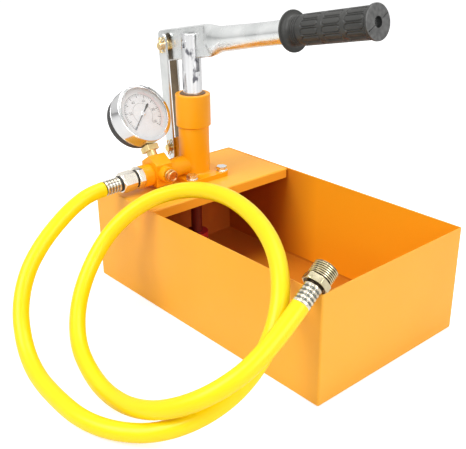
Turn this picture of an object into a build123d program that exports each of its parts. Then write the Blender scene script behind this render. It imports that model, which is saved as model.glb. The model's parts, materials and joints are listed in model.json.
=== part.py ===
"""Hand-operated hydrostatic test pump: a lever pump on an open sheet-metal water tank."""

import os
from math import acos, cos, degrees, pi, radians, sin, tan

from build123d import *

os.makedirs("parts", exist_ok=True)

# Millimetres, +Z up, origin at the centre of the tank's base.
# +X runs from the pump end to the open end of the tank, and -Y is the hose side.

# Clearances and overruns that all pieces share
cut_overrun = 1.0
running_gap = 0.06
side_gap = 0.3
thread_gap = 0.1
free_gap = 0.4

# Tank and deck
tank_length = 320.0
tank_width = 185.0
tank_height = 104.0
tank_sheet = 1.2
tank_corner_radius = 2.0
deck_length = 100.0
deck_sheet = 1.4
deck_skirt = 10.5
deck_bend_radius = 2.0
deck_relief = 2.2

# Pump body, its place on the deck and its heights above the deck
pump_inset = 47.0
pump_y = 3.5
foot_width = 54.0
foot_thickness = 5.0
foot_corner_radius = 7.0
casting_fillet = 2.0
barrel_radius = 16.2
collar_radius = 18.2
collar_start = 56.0
collar_top = 89.0
collar_step = 1.6
collar_round = 1.2
spigot_radius = 11.0
spigot_length = 12.0
passage_radius = 2.5
bolt_pitch = 40.5
bolt_radius = 3.0
bolt_head_flats = 10.0
bolt_head_height = 4.0
washer_radius = 6.2
washer_thickness = 1.0
nut_height = 5.0
bolt_point = 1.5

# Plunger, with heights in the rest pose above the deck
plunger_radius = 10.0
plunger_foot = 40.0
bore_foot = 12.0
fork_floor = 112.5
fork_top = 150.5
pin_height = 140.5
pin_radius = 4.0
groove_width = 2.6
groove_depth = 2.0
groove_height = 46.0
seal_depth = 3.5
seal_lip = 0.8

# Lever
lever_rise = 11.15
tongue_thickness = 3.8
tongue_height = 32.0
tongue_corner_radius = 4.0
tongue_back = 12.0
rear_pin_reach = 40.0
tongue_front = 28.0
crease_start = 18.5
crease_length = 13.0
crease_root = 1.0
crease_width = 13.0
crease_height = 31.5
flare_end = 60.0
tube_radius = 10.6
tube_wall = 2.0
tube_end = 233.0
pin_slide = 4.2
pin_play = 0.8
pin_recess = 0.8

# Grip
grip_start = 145.0
grip_flange_radius = 18.1
grip_flange_width = 1.8
grip_flare_end = 151.0
grip_neck_radius = 12.0
grip_rib_rise = 0.6
grip_rib_width = 1.2
grip_rib_pitch = 2.4
grip_ribs = 3
grip_core_start = 160.0
grip_core_radius = 12.5
grip_pad_rise = 0.5
grip_pad_length = 18.6
grip_pad_width = 5.4
grip_pad_pitch = 22.5
grip_pad_first = 217.0
grip_pads = 10
grip_end = 238.0
grip_end_radius = 14.6
grip_end_width = 3.4
grip_end_round = 1.0
grip_eye_radius = 4.2

# Links, pins and split pins
foot_pin_back = 33.0
foot_pin_height = 24.0
link_gap = 10.0
link_width = 13.0
link_thickness = 2.5
link_overhang = 12.5
lug_radius = 9.0
lug_root_foot = 9.0
lug_root_top = 44.0
spacer_radius = 6.5
pin_head_radius = 6.0
pin_head_height = 2.5
pin_tail = 4.2
pin_chamfer = 0.6
split_pin_radius = 0.9
split_pin_leg = 6.5
split_pin_eye = 1.6

# Valve tee
valve_height = 14.5
tee_reach = 39.8
tee_length = 19.2
tee_half_width = 12.7
tee_floor = 11.5
tee_apex = 19.8
tee_edge_radius = 1.2
boss_radius = 10.0
tee_spigot_radius = 6.0
tee_spigot_length = 9.0
outlet_radius = 11.0
outlet_length = 4.5
release_lift = 2.5
release_boss_radius = 8.0
release_boss_length = 8.4
release_shank_radius = 4.0
release_shank_length = 13.0
release_collar_radius = 6.4
release_collar_length = 1.8
release_flats = 11.0
release_head_length = 4.6

# Gauge
gauge_lean = 33.0
gauge_turn = 3.5
gauge_reach = 43.0
stem_thread_radius = 6.0
stem_thread_length = 7.0
stem_neck_radius = 5.2
stem_neck_length = 3.4
stem_flats = 14.0
stem_post_radius = 5.0
stem_bore_radius = 1.6
case_radius = 29.5
case_back = 13.0
case_wall = 1.0
case_edge_radius = 2.5
window_seat = 12.0
window_thickness = 2.0
bezel_wall = 1.5
bezel_back = 2.6
bezel_lip = 3.2
bezel_lip_thickness = 1.0
bezel_round = 0.9
dial_face = 10.6
dial_thickness = 0.8
dial_hole_radius = 1.6
pointer_length = 22.0
pointer_tail = 14.0
pointer_hub_radius = 2.6
pointer_half_width = 1.5
pointer_thickness = 0.6
pointer_angle = 222.0
spindle_radius = 0.8
movement_width = 20.0
movement_height = 16.0
movement_back = 2.0
movement_front = 6.0
tube_ring_radius = 21.0
tube_ring_wall = 2.6
tube_ring_depth = 7.0
tube_ring_start = 15.0
tube_ring_arc = 245.0

# Fittings along the outlet
adapter_flats = 21.0
adapter_hex_length = 8.4
adapter_neck_radius = 7.6
adapter_thread_radius = 6.5
adapter_thread_length = 8.0
adapter_gap = 1.9
adapter_nose = 9.0
coupling_flats = 18.6
coupling_length = 19.2
coupling_lip = 3.0
nipple_gap = 0.7
nipple_collar_radius = 6.2
nipple_neck_radius = 5.4
nipple_tail_radius = 4.0
nipple_bore_radius = 2.4
fitting_bevel = 1.2
ferrule_radius = 8.75
ferrule_length = 17.6
ferrule_ribs = 4
ferrule_groove_width = 1.5
ferrule_groove_depth = 0.7

# Hose and its free end
hose_radius = 7.5
arc_share = 0.45
end_ferrule_radius = 8.5
end_ferrule_length = 18.5
end_neck_radius = 8.1
end_neck_length = 1.0
end_hex_flats = 22.0
end_hex_length = 8.0
end_thread_radius = 10.48
end_thread_length = 10.5
end_relief_radius = 9.2
end_relief_length = 1.6
end_bore_radius = 4.5
end_lead = 1.2

# Suction side under the deck, with heights above the tank's base
suction_flats = 19.0
suction_hex_length = 10.0
suction_thread_radius = 6.5
suction_thread_length = 8.0
suction_barb_radius = 4.4
suction_bore_radius = 3.0
pipe_radius = 6.0
pipe_bore_radius = 4.5
pipe_foot = 30.0
strainer_radius = 12.5
strainer_wall = 1.6
strainer_foot = 6.0
strainer_top = 38.0
strainer_slots = 12
strainer_slot_width = 2.2
strainer_band = 6.0

# Planes that several pieces share
pump_x = pump_inset - tank_length / 2
deck_seat = Plane(origin=(pump_x, pump_y, tank_height))
pump_axis = Axis((pump_x, pump_y, tank_height), (0, 0, 1))
pump_section = Plane(origin=(pump_x, pump_y, tank_height), x_dir=(1, 0, 0), z_dir=(0, -1, 0))
lever_direction = Vector(cos(radians(lever_rise)), 0, sin(radians(lever_rise)))
pin_centre = Vector(pump_x, pump_y, tank_height + pin_height)
rear_pin_centre = pin_centre - lever_direction * rear_pin_reach
foot_pin_centre = Vector(pump_x - foot_pin_back, pump_y, tank_height + foot_pin_height)
lever_side = Plane(origin=pin_centre, x_dir=lever_direction, z_dir=(0, -1, 0))
lever_cross = Plane(origin=pin_centre, x_dir=(0, 1, 0), z_dir=lever_direction)
link_direction = rear_pin_centre - foot_pin_centre
link_side = Plane(origin=foot_pin_centre, x_dir=link_direction, z_dir=(0, -1, 0))
outlet_plane = Plane(
    origin=(pump_x, pump_y, tank_height + valve_height), x_dir=(1, 0, 0), z_dir=(0, -1, 0)
)

# Tank: a folded box of sheet, open on top
with BuildPart() as tank_shell:
    with BuildSketch():
        Rectangle(tank_length, tank_width)
    extrude(amount=tank_height)
    fillet(tank_shell.edges().filter_by(Axis.Z), radius=tank_corner_radius)
    fillet(tank_shell.faces().sort_by(Axis.Z)[0].edges(), radius=tank_corner_radius)
    offset(amount=-tank_sheet, openings=tank_shell.faces().sort_by(Axis.Z)[-1])
tank_shell.part.label = "tank_shell"
export_step(tank_shell.part, "parts/tank_shell.step")

# Deck: a plate with its four edges bent down, seated between the walls
deck_back = tank_sheet - tank_length / 2
deck_front = deck_length - tank_length / 2
deck_middle = (deck_back + deck_front) / 2
deck_span = deck_front - deck_back
deck_width = tank_width - 2 * tank_sheet
with BuildPart() as deck_plate:
    with BuildSketch(Plane.XY.offset(tank_height - deck_skirt)):
        with Locations((deck_middle, 0)):
            Rectangle(deck_span, deck_width)
    extrude(amount=deck_skirt)
    fillet(deck_plate.edges().filter_by(Axis.Z), radius=deck_bend_radius)
    fillet(deck_plate.faces().sort_by(Axis.Z)[-1].edges(), radius=deck_bend_radius)
    offset(amount=-deck_sheet, openings=deck_plate.faces().sort_by(Axis.Z)[0])
    with BuildSketch(Plane.XY.offset(tank_height - deck_bend_radius)):
        with Locations((deck_middle, 0)):
            with GridLocations(deck_span, deck_width, 2, 2):
                Rectangle(2 * deck_relief, 2 * deck_relief)
    extrude(amount=-deck_skirt, mode=Mode.SUBTRACT)
    with BuildSketch(deck_seat):
        Circle(spigot_radius + side_gap)
        with GridLocations(bolt_pitch, bolt_pitch, 2, 2):
            Circle(bolt_radius + side_gap)
    extrude(amount=-deck_sheet, mode=Mode.SUBTRACT)
deck_plate.part.label = "deck_plate"
export_step(deck_plate.part, "parts/deck_plate.step")

# Pump body: one casting of barrel, collar, square foot, rear lug and valve boss
lug_thickness = link_gap - 2 * side_gap
seal_radius = plunger_radius + seal_depth
with BuildPart() as pump_body:
    with BuildSketch(pump_section):
        with BuildLine():
            Polyline(
                (0, -spigot_length),
                (spigot_radius, -spigot_length),
                (spigot_radius, 0),
                (barrel_radius, 0),
                (barrel_radius, collar_start - collar_step),
                (collar_radius, collar_start),
                (collar_radius, collar_top),
                (0, collar_top),
                close=True,
            )
        make_face()
    revolve(axis=pump_axis)
    fillet(pump_body.faces().sort_by(Axis.Z)[-1].edges(), radius=collar_round)
    with BuildSketch(deck_seat):
        RectangleRounded(foot_width, foot_width, foot_corner_radius)
    extrude(amount=foot_thickness)
    foot_level = tank_height + foot_thickness
    foot_edges = pump_body.edges().filter_by_position(Axis.Z, foot_level, foot_level)
    fillet(foot_edges.filter_by(GeomType.CIRCLE).sort_by(SortBy.RADIUS)[-1], radius=casting_fillet)
    # Rear lug, tangent hull from the barrel to the round eye of the foot pin
    with BuildSketch(pump_section):
        with Locations((-foot_pin_back, foot_pin_height)):
            Circle(lug_radius)
        with Locations((0, lug_root_foot)):
            Rectangle(barrel_radius, lug_root_top - lug_root_foot, align=(Align.CENTER, Align.MIN))
        make_hull()
    extrude(amount=lug_thickness / 2, both=True)
    # Valve boss toward the hose side
    with BuildSketch(outlet_plane):
        Circle(boss_radius)
    extrude(amount=tee_reach)
    # Plunger bore and the seat of the rod seal
    with BuildSketch(deck_seat.offset(bore_foot)):
        Circle(plunger_radius + running_gap)
    extrude(amount=collar_top, mode=Mode.SUBTRACT)
    with BuildSketch(deck_seat.offset(collar_top - seal_depth)):
        Circle(seal_radius)
    extrude(amount=collar_top, mode=Mode.SUBTRACT)
    # Water ways: suction from below, outlet through the boss
    with BuildSketch(deck_seat.offset(-spigot_length)):
        Circle(passage_radius)
    extrude(amount=spigot_length + bore_foot + cut_overrun, mode=Mode.SUBTRACT)
    with BuildSketch(deck_seat.offset(-spigot_length)):
        Circle(suction_thread_radius + thread_gap)
    extrude(amount=suction_thread_length + thread_gap, mode=Mode.SUBTRACT)
    with BuildSketch(outlet_plane):
        Circle(passage_radius)
    extrude(amount=tee_reach, mode=Mode.SUBTRACT)
    with BuildSketch(outlet_plane.offset(tee_reach)):
        Circle(tee_spigot_radius + thread_gap)
    extrude(amount=-tee_spigot_length - thread_gap, mode=Mode.SUBTRACT)
    # Holes of the foot pin and the four bolts
    with BuildSketch(Plane(origin=foot_pin_centre, z_dir=(0, -1, 0))):
        Circle(pin_radius + running_gap)
    extrude(amount=lug_thickness, both=True, mode=Mode.SUBTRACT)
    with BuildSketch(deck_seat):
        with GridLocations(bolt_pitch, bolt_pitch, 2, 2):
            Circle(bolt_radius + side_gap)
    extrude(amount=foot_thickness, mode=Mode.SUBTRACT)
pump_body.part.label = "pump_body"
export_step(pump_body.part, "parts/pump_body.step")

# Base bolts: hexagon head, washer and shank through the foot and the deck
bolt_reach = foot_thickness + deck_sheet + washer_thickness + nut_height + bolt_point
with BuildPart() as base_bolts:
    with BuildSketch(deck_seat.offset(foot_thickness)):
        with GridLocations(bolt_pitch, bolt_pitch, 2, 2):
            Circle(washer_radius)
    extrude(amount=washer_thickness)
    with BuildSketch(deck_seat.offset(foot_thickness + washer_thickness)):
        with GridLocations(bolt_pitch, bolt_pitch, 2, 2):
            RegularPolygon(bolt_head_flats / 2, side_count=6, major_radius=False)
    extrude(amount=bolt_head_height)
    with BuildSketch(deck_seat.offset(foot_thickness)):
        with GridLocations(bolt_pitch, bolt_pitch, 2, 2):
            Circle(bolt_radius)
    extrude(amount=-bolt_reach)
base_bolts.part.label = "base_bolts"
export_step(base_bolts.part, "parts/base_bolts.step")

# Base nuts, each with its washer, under the deck
with BuildPart() as base_nuts:
    with BuildSketch(deck_seat.offset(-deck_sheet)):
        with GridLocations(bolt_pitch, bolt_pitch, 2, 2):
            Circle(washer_radius)
            Circle(bolt_radius, mode=Mode.SUBTRACT)
    extrude(amount=-washer_thickness)
    with BuildSketch(deck_seat.offset(-deck_sheet - washer_thickness)):
        with GridLocations(bolt_pitch, bolt_pitch, 2, 2):
            RegularPolygon(bolt_head_flats / 2, side_count=6, major_radius=False)
            Circle(bolt_radius, mode=Mode.SUBTRACT)
    extrude(amount=-nut_height)
base_nuts.part.label = "base_nuts"
export_step(base_nuts.part, "parts/base_nuts.step")

# Rod seal: the wiper ring in the top of the collar
with BuildPart() as rod_seal:
    with BuildSketch(deck_seat.offset(collar_top - seal_depth)):
        Circle(seal_radius)
        Circle(plunger_radius + running_gap, mode=Mode.SUBTRACT)
    extrude(amount=seal_depth + seal_lip)
    seal_edges = rod_seal.faces().sort_by(Axis.Z)[-1].edges()
    chamfer(seal_edges.sort_by(SortBy.RADIUS)[-1], length=seal_lip)
rod_seal.part.label = "rod_seal"
export_step(rod_seal.part, "parts/rod_seal.step")

# Plunger: ground rod with a fork for the lever's tongue and a seal groove near its foot
plunger_length = fork_top - plunger_foot
with BuildPart() as plunger:
    with BuildSketch(deck_seat.offset(plunger_foot)):
        Circle(plunger_radius)
    extrude(amount=plunger_length)
    with BuildSketch(pump_section):
        with Locations((0, fork_floor)):
            Rectangle(
                2 * plunger_radius + cut_overrun,
                plunger_length,
                align=(Align.CENTER, Align.MIN),
            )
    fork_slot = tongue_thickness + 2 * side_gap
    extrude(amount=fork_slot / 2, both=True, mode=Mode.SUBTRACT)
    ear_edges = plunger.faces().sort_by(Axis.Z)[-2:].edges().filter_by(GeomType.CIRCLE)
    fillet(ear_edges, radius=collar_round)
    with BuildSketch(Plane(origin=pin_centre, z_dir=(0, -1, 0))):
        Circle(pin_radius)
    extrude(amount=2 * plunger_radius, both=True, mode=Mode.SUBTRACT)
    with BuildSketch(deck_seat.offset(groove_height)):
        Circle(plunger_radius)
        Circle(plunger_radius - groove_depth, mode=Mode.SUBTRACT)
    extrude(amount=groove_width, mode=Mode.SUBTRACT)
plunger.part.label = "plunger"
export_step(plunger.part, "parts/plunger.step")

# Plunger seal: the ring that fills the groove
with BuildPart() as plunger_seal:
    with BuildSketch(deck_seat.offset(groove_height)):
        Circle(plunger_radius)
        Circle(plunger_radius - groove_depth, mode=Mode.SUBTRACT)
    extrude(amount=groove_width)
plunger_seal.part.label = "plunger_seal"
export_step(plunger_seal.part, "parts/plunger_seal.step")

# Lever arm: a tube whose end is pressed flat into a tongue behind a creased flare
tongue_run = tongue_front + rear_pin_reach + tongue_back
with BuildPart() as lever_arm:
    with BuildSketch(lever_side):
        with Locations((tongue_front - tongue_run / 2, 0)):
            Rectangle(tongue_run, tongue_height)
        fillet(vertices().sort_by(Axis.X)[:2], radius=tongue_corner_radius)
    extrude(amount=tongue_thickness / 2, both=True)
    with BuildSketch(lever_cross.offset(crease_start)):
        Ellipse(crease_root, crease_height / 2)
    with BuildSketch(lever_cross.offset(crease_start + crease_length)):
        Ellipse(crease_width / 2, crease_height / 2)
    loft()
    with BuildSketch(lever_cross.offset(crease_start + crease_length)):
        Ellipse(crease_width / 2, crease_height / 2)
    with BuildSketch(lever_cross.offset(flare_end)):
        Circle(tube_radius)
    loft()
    with BuildSketch(lever_cross.offset(flare_end)):
        Circle(tube_radius)
    extrude(amount=tube_end - flare_end)
    with BuildSketch(lever_cross.offset(tube_end)):
        Circle(tube_radius - tube_wall)
    extrude(amount=flare_end - tube_end, mode=Mode.SUBTRACT)
    # Round hole of the rear pin, and the slot that lets the plunger's pin follow a straight line
    with BuildSketch(lever_side):
        with Locations((-rear_pin_reach, 0)):
            Circle(pin_radius + running_gap)
        with Locations((pin_slide / 2, 0)):
            SlotCenterToCenter(pin_slide, 2 * (pin_radius + pin_play))
    extrude(amount=tongue_thickness, both=True, mode=Mode.SUBTRACT)
lever_arm.part.label = "lever_arm"
export_step(lever_arm.part, "parts/lever_arm.step")

# Rear and foot pins: shank, head on the far side, plain near end with a cross hole
pin_reach = link_gap / 2 + link_thickness
with BuildPart() as rear_pin:
    with BuildSketch(Plane(origin=rear_pin_centre, z_dir=(0, -1, 0)).offset(-pin_reach)):
        Circle(pin_radius)
    extrude(amount=2 * pin_reach + pin_tail)
    chamfer(rear_pin.faces().sort_by(Axis.Y)[0].edges(), length=pin_chamfer)
    with BuildSketch(Plane(origin=rear_pin_centre, z_dir=(0, 1, 0)).offset(pin_reach)):
        Circle(pin_head_radius)
    extrude(amount=pin_head_height)
    chamfer(rear_pin.faces().sort_by(Axis.Y)[-1].edges(), length=pin_chamfer)
    with BuildSketch(
        Plane(origin=rear_pin_centre - Vector(0, pin_reach + pin_tail / 2, 0), z_dir=(0, 0, 1))
    ):
        Circle(split_pin_radius)
    extrude(amount=pin_radius, both=True, mode=Mode.SUBTRACT)
rear_pin.part.label = "rear_pin"
export_step(rear_pin.part, "parts/rear_pin.step")

with BuildPart() as foot_pin:
    with BuildSketch(Plane(origin=foot_pin_centre, z_dir=(0, -1, 0)).offset(-pin_reach)):
        Circle(pin_radius)
    extrude(amount=2 * pin_reach + pin_tail)
    chamfer(foot_pin.faces().sort_by(Axis.Y)[0].edges(), length=pin_chamfer)
    with BuildSketch(Plane(origin=foot_pin_centre, z_dir=(0, 1, 0)).offset(pin_reach)):
        Circle(pin_head_radius)
    extrude(amount=pin_head_height)
    chamfer(foot_pin.faces().sort_by(Axis.Y)[-1].edges(), length=pin_chamfer)
    with BuildSketch(
        Plane(origin=foot_pin_centre - Vector(0, pin_reach + pin_tail / 2, 0), z_dir=(0, 0, 1))
    ):
        Circle(split_pin_radius)
    extrude(amount=pin_radius, both=True, mode=Mode.SUBTRACT)
foot_pin.part.label = "foot_pin"
export_step(foot_pin.part, "parts/foot_pin.step")

# Plunger pin: flush with the rod on the near side, with a split pin through its far end
with BuildPart() as plunger_pin:
    with BuildSketch(Plane(origin=pin_centre, z_dir=(0, 1, 0)).offset(pin_recess - plunger_radius)):
        Circle(pin_radius)
    extrude(amount=2 * plunger_radius - pin_recess + pin_tail)
    chamfer(plunger_pin.faces().sort_by(Axis.Y)[0].edges(), length=pin_chamfer)
    chamfer(plunger_pin.faces().sort_by(Axis.Y)[-1].edges(), length=pin_chamfer)
    with BuildSketch(
        Plane(origin=pin_centre + Vector(0, plunger_radius + pin_tail / 2, 0), z_dir=(0, 0, 1))
    ):
        Circle(split_pin_radius)
    extrude(amount=pin_radius, both=True, mode=Mode.SUBTRACT)
plunger_pin.part.label = "plunger_pin"
export_step(plunger_pin.part, "parts/plunger_pin.step")

# Split pins: a straight leg through the cross hole and a round eye above the pin
eye_height = pin_radius + split_pin_eye + split_pin_radius
rear_hole = rear_pin_centre - Vector(0, pin_reach + pin_tail / 2, 0)
with BuildPart() as rear_split_pin:
    with BuildSketch(Plane(origin=rear_hole, z_dir=(0, 0, 1)).offset(-split_pin_leg)):
        Circle(split_pin_radius)
    extrude(amount=split_pin_leg + eye_height - split_pin_eye)
    with BuildSketch(Plane(origin=rear_hole + Vector(0, 0, eye_height), z_dir=(0, 1, 0))):
        Circle(split_pin_eye + split_pin_radius)
        Circle(split_pin_eye - split_pin_radius, mode=Mode.SUBTRACT)
    extrude(amount=split_pin_radius, both=True)
rear_split_pin.part.label = "rear_split_pin"
export_step(rear_split_pin.part, "parts/rear_split_pin.step")

foot_hole = foot_pin_centre - Vector(0, pin_reach + pin_tail / 2, 0)
with BuildPart() as foot_split_pin:
    with BuildSketch(Plane(origin=foot_hole, z_dir=(0, 0, 1)).offset(-split_pin_leg)):
        Circle(split_pin_radius)
    extrude(amount=split_pin_leg + eye_height - split_pin_eye)
    with BuildSketch(Plane(origin=foot_hole + Vector(0, 0, eye_height), z_dir=(0, 1, 0))):
        Circle(split_pin_eye + split_pin_radius)
        Circle(split_pin_eye - split_pin_radius, mode=Mode.SUBTRACT)
    extrude(amount=split_pin_radius, both=True)
foot_split_pin.part.label = "foot_split_pin"
export_step(foot_split_pin.part, "parts/foot_split_pin.step")

plunger_hole = pin_centre + Vector(0, plunger_radius + pin_tail / 2, 0)
with BuildPart() as plunger_split_pin:
    with BuildSketch(Plane(origin=plunger_hole, z_dir=(0, 0, 1)).offset(-split_pin_leg)):
        Circle(split_pin_radius)
    extrude(amount=split_pin_leg + eye_height - split_pin_eye)
    with BuildSketch(Plane(origin=plunger_hole + Vector(0, 0, eye_height), z_dir=(0, 1, 0))):
        Circle(split_pin_eye + split_pin_radius)
        Circle(split_pin_eye - split_pin_radius, mode=Mode.SUBTRACT)
    extrude(amount=split_pin_radius, both=True)
plunger_split_pin.part.label = "plunger_split_pin"
export_step(plunger_split_pin.part, "parts/plunger_split_pin.step")

# Links: two straight bars with round ends, and the spacers that centre the tongue
link_length = link_direction.length
with BuildPart() as strap_near:
    with BuildSketch(link_side.offset(link_gap / 2)):
        with Locations((link_length / 2, 0)):
            SlotOverall(link_length + 2 * link_overhang, link_width)
        with Locations((0, 0), (link_length, 0)):
            Circle(pin_radius, mode=Mode.SUBTRACT)
    extrude(amount=link_thickness)
strap_near.part.label = "strap_near"
export_step(strap_near.part, "parts/strap_near.step")

with BuildPart() as strap_far:
    with BuildSketch(link_side.offset(-link_gap / 2)):
        with Locations((link_length / 2, 0)):
            SlotOverall(link_length + 2 * link_overhang, link_width)
        with Locations((0, 0), (link_length, 0)):
            Circle(pin_radius, mode=Mode.SUBTRACT)
    extrude(amount=-link_thickness)
strap_far.part.label = "strap_far"
export_step(strap_far.part, "parts/strap_far.step")

spacer_thickness = (link_gap - tongue_thickness) / 2 - side_gap
with BuildPart() as rear_spacers:
    with BuildSketch(Plane(origin=rear_pin_centre, z_dir=(0, -1, 0)).offset(link_gap / 2)):
        Circle(spacer_radius)
        Circle(pin_radius, mode=Mode.SUBTRACT)
    extrude(amount=-spacer_thickness)
    with BuildSketch(Plane(origin=rear_pin_centre, z_dir=(0, 1, 0)).offset(link_gap / 2)):
        Circle(spacer_radius)
        Circle(pin_radius, mode=Mode.SUBTRACT)
    extrude(amount=-spacer_thickness)
rear_spacers.part.label = "rear_spacers"
export_step(rear_spacers.part, "parts/rear_spacers.step")

# Grip: rubber sleeve with a flared hand stop, ribs, rows of raised pads and a closed end
grip_rim_end = grip_start + grip_flange_width
grip_end_disc = grip_end - grip_end_width
with BuildPart() as grip:
    with BuildSketch(lever_side):
        with BuildLine():
            Polyline(
                (grip_flare_end, grip_neck_radius),
                (grip_core_start, grip_neck_radius),
                (grip_core_start, grip_core_radius),
                (grip_end_disc, grip_core_radius),
                (grip_end_disc, grip_end_radius),
                (grip_end, grip_end_radius),
                (grip_end, 0),
                (grip_start, 0),
                (grip_start, grip_flange_radius),
                (grip_rim_end, grip_flange_radius),
            )
            Bezier(
                (grip_rim_end, grip_flange_radius),
                (grip_rim_end, grip_neck_radius),
                (grip_flare_end, grip_neck_radius),
            )
        make_face()
    revolve(axis=Axis(pin_centre, lever_direction))
    rims = grip.edges().filter_by(GeomType.CIRCLE).sort_by(SortBy.RADIUS)
    fillet(rims[-2:], radius=grip_flange_width / 2 - side_gap)
    end_rims = grip.faces().sort_by(Axis(pin_centre, lever_direction))[-1].edges()
    fillet(end_rims, radius=grip_end_round)
    for ring in range(grip_ribs):
        with BuildSketch(lever_cross.offset(grip_flare_end + (ring + 1) * grip_rib_pitch)):
            Circle(grip_neck_radius + grip_rib_rise)
        extrude(amount=-grip_rib_width)
    # Three bands of pads, each raised from the sleeve
    pad_top = grip_core_radius + grip_pad_rise
    for band in (0, 1, 2):
        with BuildSketch(lever_cross.offset(grip_pad_first - band * grip_pad_pitch)):
            with PolarLocations(0, grip_pads):
                with Locations((pad_top / 2, 0)):
                    Rectangle(pad_top, grip_pad_width)
            Circle(pad_top, mode=Mode.INTERSECT)
            Circle(grip_neck_radius, mode=Mode.SUBTRACT)
        extrude(amount=grip_pad_length / 2, both=True)
    with BuildSketch(lever_cross.offset(grip_start)):
        Circle(tube_radius)
    extrude(amount=tube_end - grip_start, mode=Mode.SUBTRACT)
    with BuildSketch(lever_cross.offset(tube_end)):
        Circle(grip_eye_radius)
    extrude(amount=grip_end, mode=Mode.SUBTRACT)
grip.part.label = "grip"
export_step(grip.part, "parts/grip.step")

# Valve tee: a block with a pitched top, an outlet neck and a boss for the release screw
tee_eave = tee_apex - tee_half_width * tan(radians(gauge_lean))
tee_middle = tee_reach + tee_length / 2
release_plane = Plane(
    origin=(
        pump_x + tee_half_width,
        pump_y - tee_middle,
        tank_height + valve_height + release_lift,
    ),
    x_dir=(0, 1, 0),
    z_dir=(1, 0, 0),
)
lean = radians(gauge_lean)
turn = radians(gauge_turn)
stem_direction = Vector(-sin(lean), 0, cos(lean))
face_direction = Vector(cos(lean) * cos(turn), sin(turn), sin(lean) * cos(turn))
dial_right = stem_direction.cross(face_direction)
stem_seat = Vector(
    pump_x - tee_half_width / 2,
    pump_y - tee_middle,
    tank_height + valve_height + (tee_eave + tee_apex) / 2,
)
stem_plane = Plane(origin=stem_seat, x_dir=dial_right, z_dir=stem_direction)
gauge_centre = stem_seat + stem_direction * gauge_reach
gauge_plane = Plane(origin=gauge_centre, x_dir=dial_right, z_dir=face_direction)
with BuildPart() as valve_tee:
    with BuildSketch(outlet_plane.offset(tee_reach)):
        with BuildLine():
            Polyline(
                (-tee_half_width, -tee_floor),
                (tee_half_width, -tee_floor),
                (tee_half_width, tee_eave),
                (0, tee_apex),
                (-tee_half_width, tee_eave),
                close=True,
            )
        make_face()
        fillet(vertices(), radius=tee_edge_radius)
    extrude(amount=tee_length)
    with BuildSketch(outlet_plane.offset(tee_reach + tee_length)):
        Circle(outlet_radius)
    extrude(amount=outlet_length)
    with BuildSketch(release_plane):
        Circle(release_boss_radius)
    extrude(amount=release_boss_length)
    with BuildSketch(outlet_plane.offset(tee_reach)):
        Circle(tee_spigot_radius)
    extrude(amount=-tee_spigot_length)
    # Through passage, threaded mouth for the adapter, and the side ports
    with BuildSketch(outlet_plane.offset(tee_reach - tee_spigot_length)):
        Circle(passage_radius)
    extrude(amount=tee_spigot_length + tee_length + outlet_length, mode=Mode.SUBTRACT)
    with BuildSketch(outlet_plane.offset(tee_reach + tee_length + outlet_length)):
        Circle(adapter_thread_radius + thread_gap)
    extrude(amount=-adapter_thread_length - thread_gap, mode=Mode.SUBTRACT)
    with BuildSketch(release_plane.offset(release_boss_length)):
        Circle(release_shank_radius + running_gap)
    extrude(amount=-release_shank_length - side_gap, mode=Mode.SUBTRACT)
    with BuildSketch(release_plane.offset(-tee_half_width)):
        Circle(stem_bore_radius)
    extrude(amount=tee_half_width, mode=Mode.SUBTRACT)
    with BuildSketch(stem_plane):
        Circle(stem_thread_radius + thread_gap)
    extrude(amount=-stem_thread_length - thread_gap, mode=Mode.SUBTRACT)
    with BuildSketch(stem_plane):
        Circle(stem_bore_radius)
    extrude(amount=-tee_apex, mode=Mode.SUBTRACT)
valve_tee.part.label = "valve_tee"
export_step(valve_tee.part, "parts/valve_tee.step")

# Release screw: shank with a needle point, collar and hexagon head
with BuildPart() as release_screw:
    with BuildSketch(release_plane.offset(release_boss_length - release_shank_length)):
        Circle(release_shank_radius)
    extrude(amount=release_shank_length)
    shank_tip = release_screw.faces().sort_by(Axis.X)[0].edges()
    chamfer(shank_tip, length=release_shank_radius / 2)
    with BuildSketch(release_plane.offset(release_boss_length + side_gap)):
        Circle(release_collar_radius)
    extrude(amount=release_collar_length)
    with BuildSketch(release_plane.offset(release_boss_length)):
        Circle(release_shank_radius)
    extrude(amount=release_collar_length)
    with BuildSketch(release_plane.offset(release_boss_length + side_gap + release_collar_length)):
        RegularPolygon(release_flats / 2, side_count=6, major_radius=False)
    extrude(amount=release_head_length)
release_screw.part.label = "release_screw"
export_step(release_screw.part, "parts/release_screw.step")

# Gauge stem: thread into the tee, neck, square wrench part and post inside the case
stem_square_top = gauge_reach - case_radius - bezel_wall - side_gap
stem_flats_length = stem_square_top - stem_neck_length
stem_post_top = gauge_reach - movement_height / 2
with BuildPart() as gauge_stem:
    with BuildSketch(stem_plane):
        Circle(stem_thread_radius)
    extrude(amount=-stem_thread_length)
    with BuildSketch(stem_plane):
        Circle(stem_neck_radius)
    extrude(amount=stem_neck_length)
    with BuildSketch(stem_plane.offset(stem_neck_length)):
        RectangleRounded(stem_flats, stem_flats, tee_edge_radius)
    extrude(amount=stem_flats_length)
    with BuildSketch(stem_plane.offset(stem_square_top)):
        Circle(stem_post_radius)
    extrude(amount=stem_post_top - stem_square_top)
    with BuildSketch(stem_plane.offset(-stem_thread_length)):
        Circle(stem_bore_radius)
    extrude(amount=stem_thread_length + stem_square_top, mode=Mode.SUBTRACT)
gauge_stem.part.label = "gauge_stem"
export_step(gauge_stem.part, "parts/gauge_stem.step")

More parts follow.
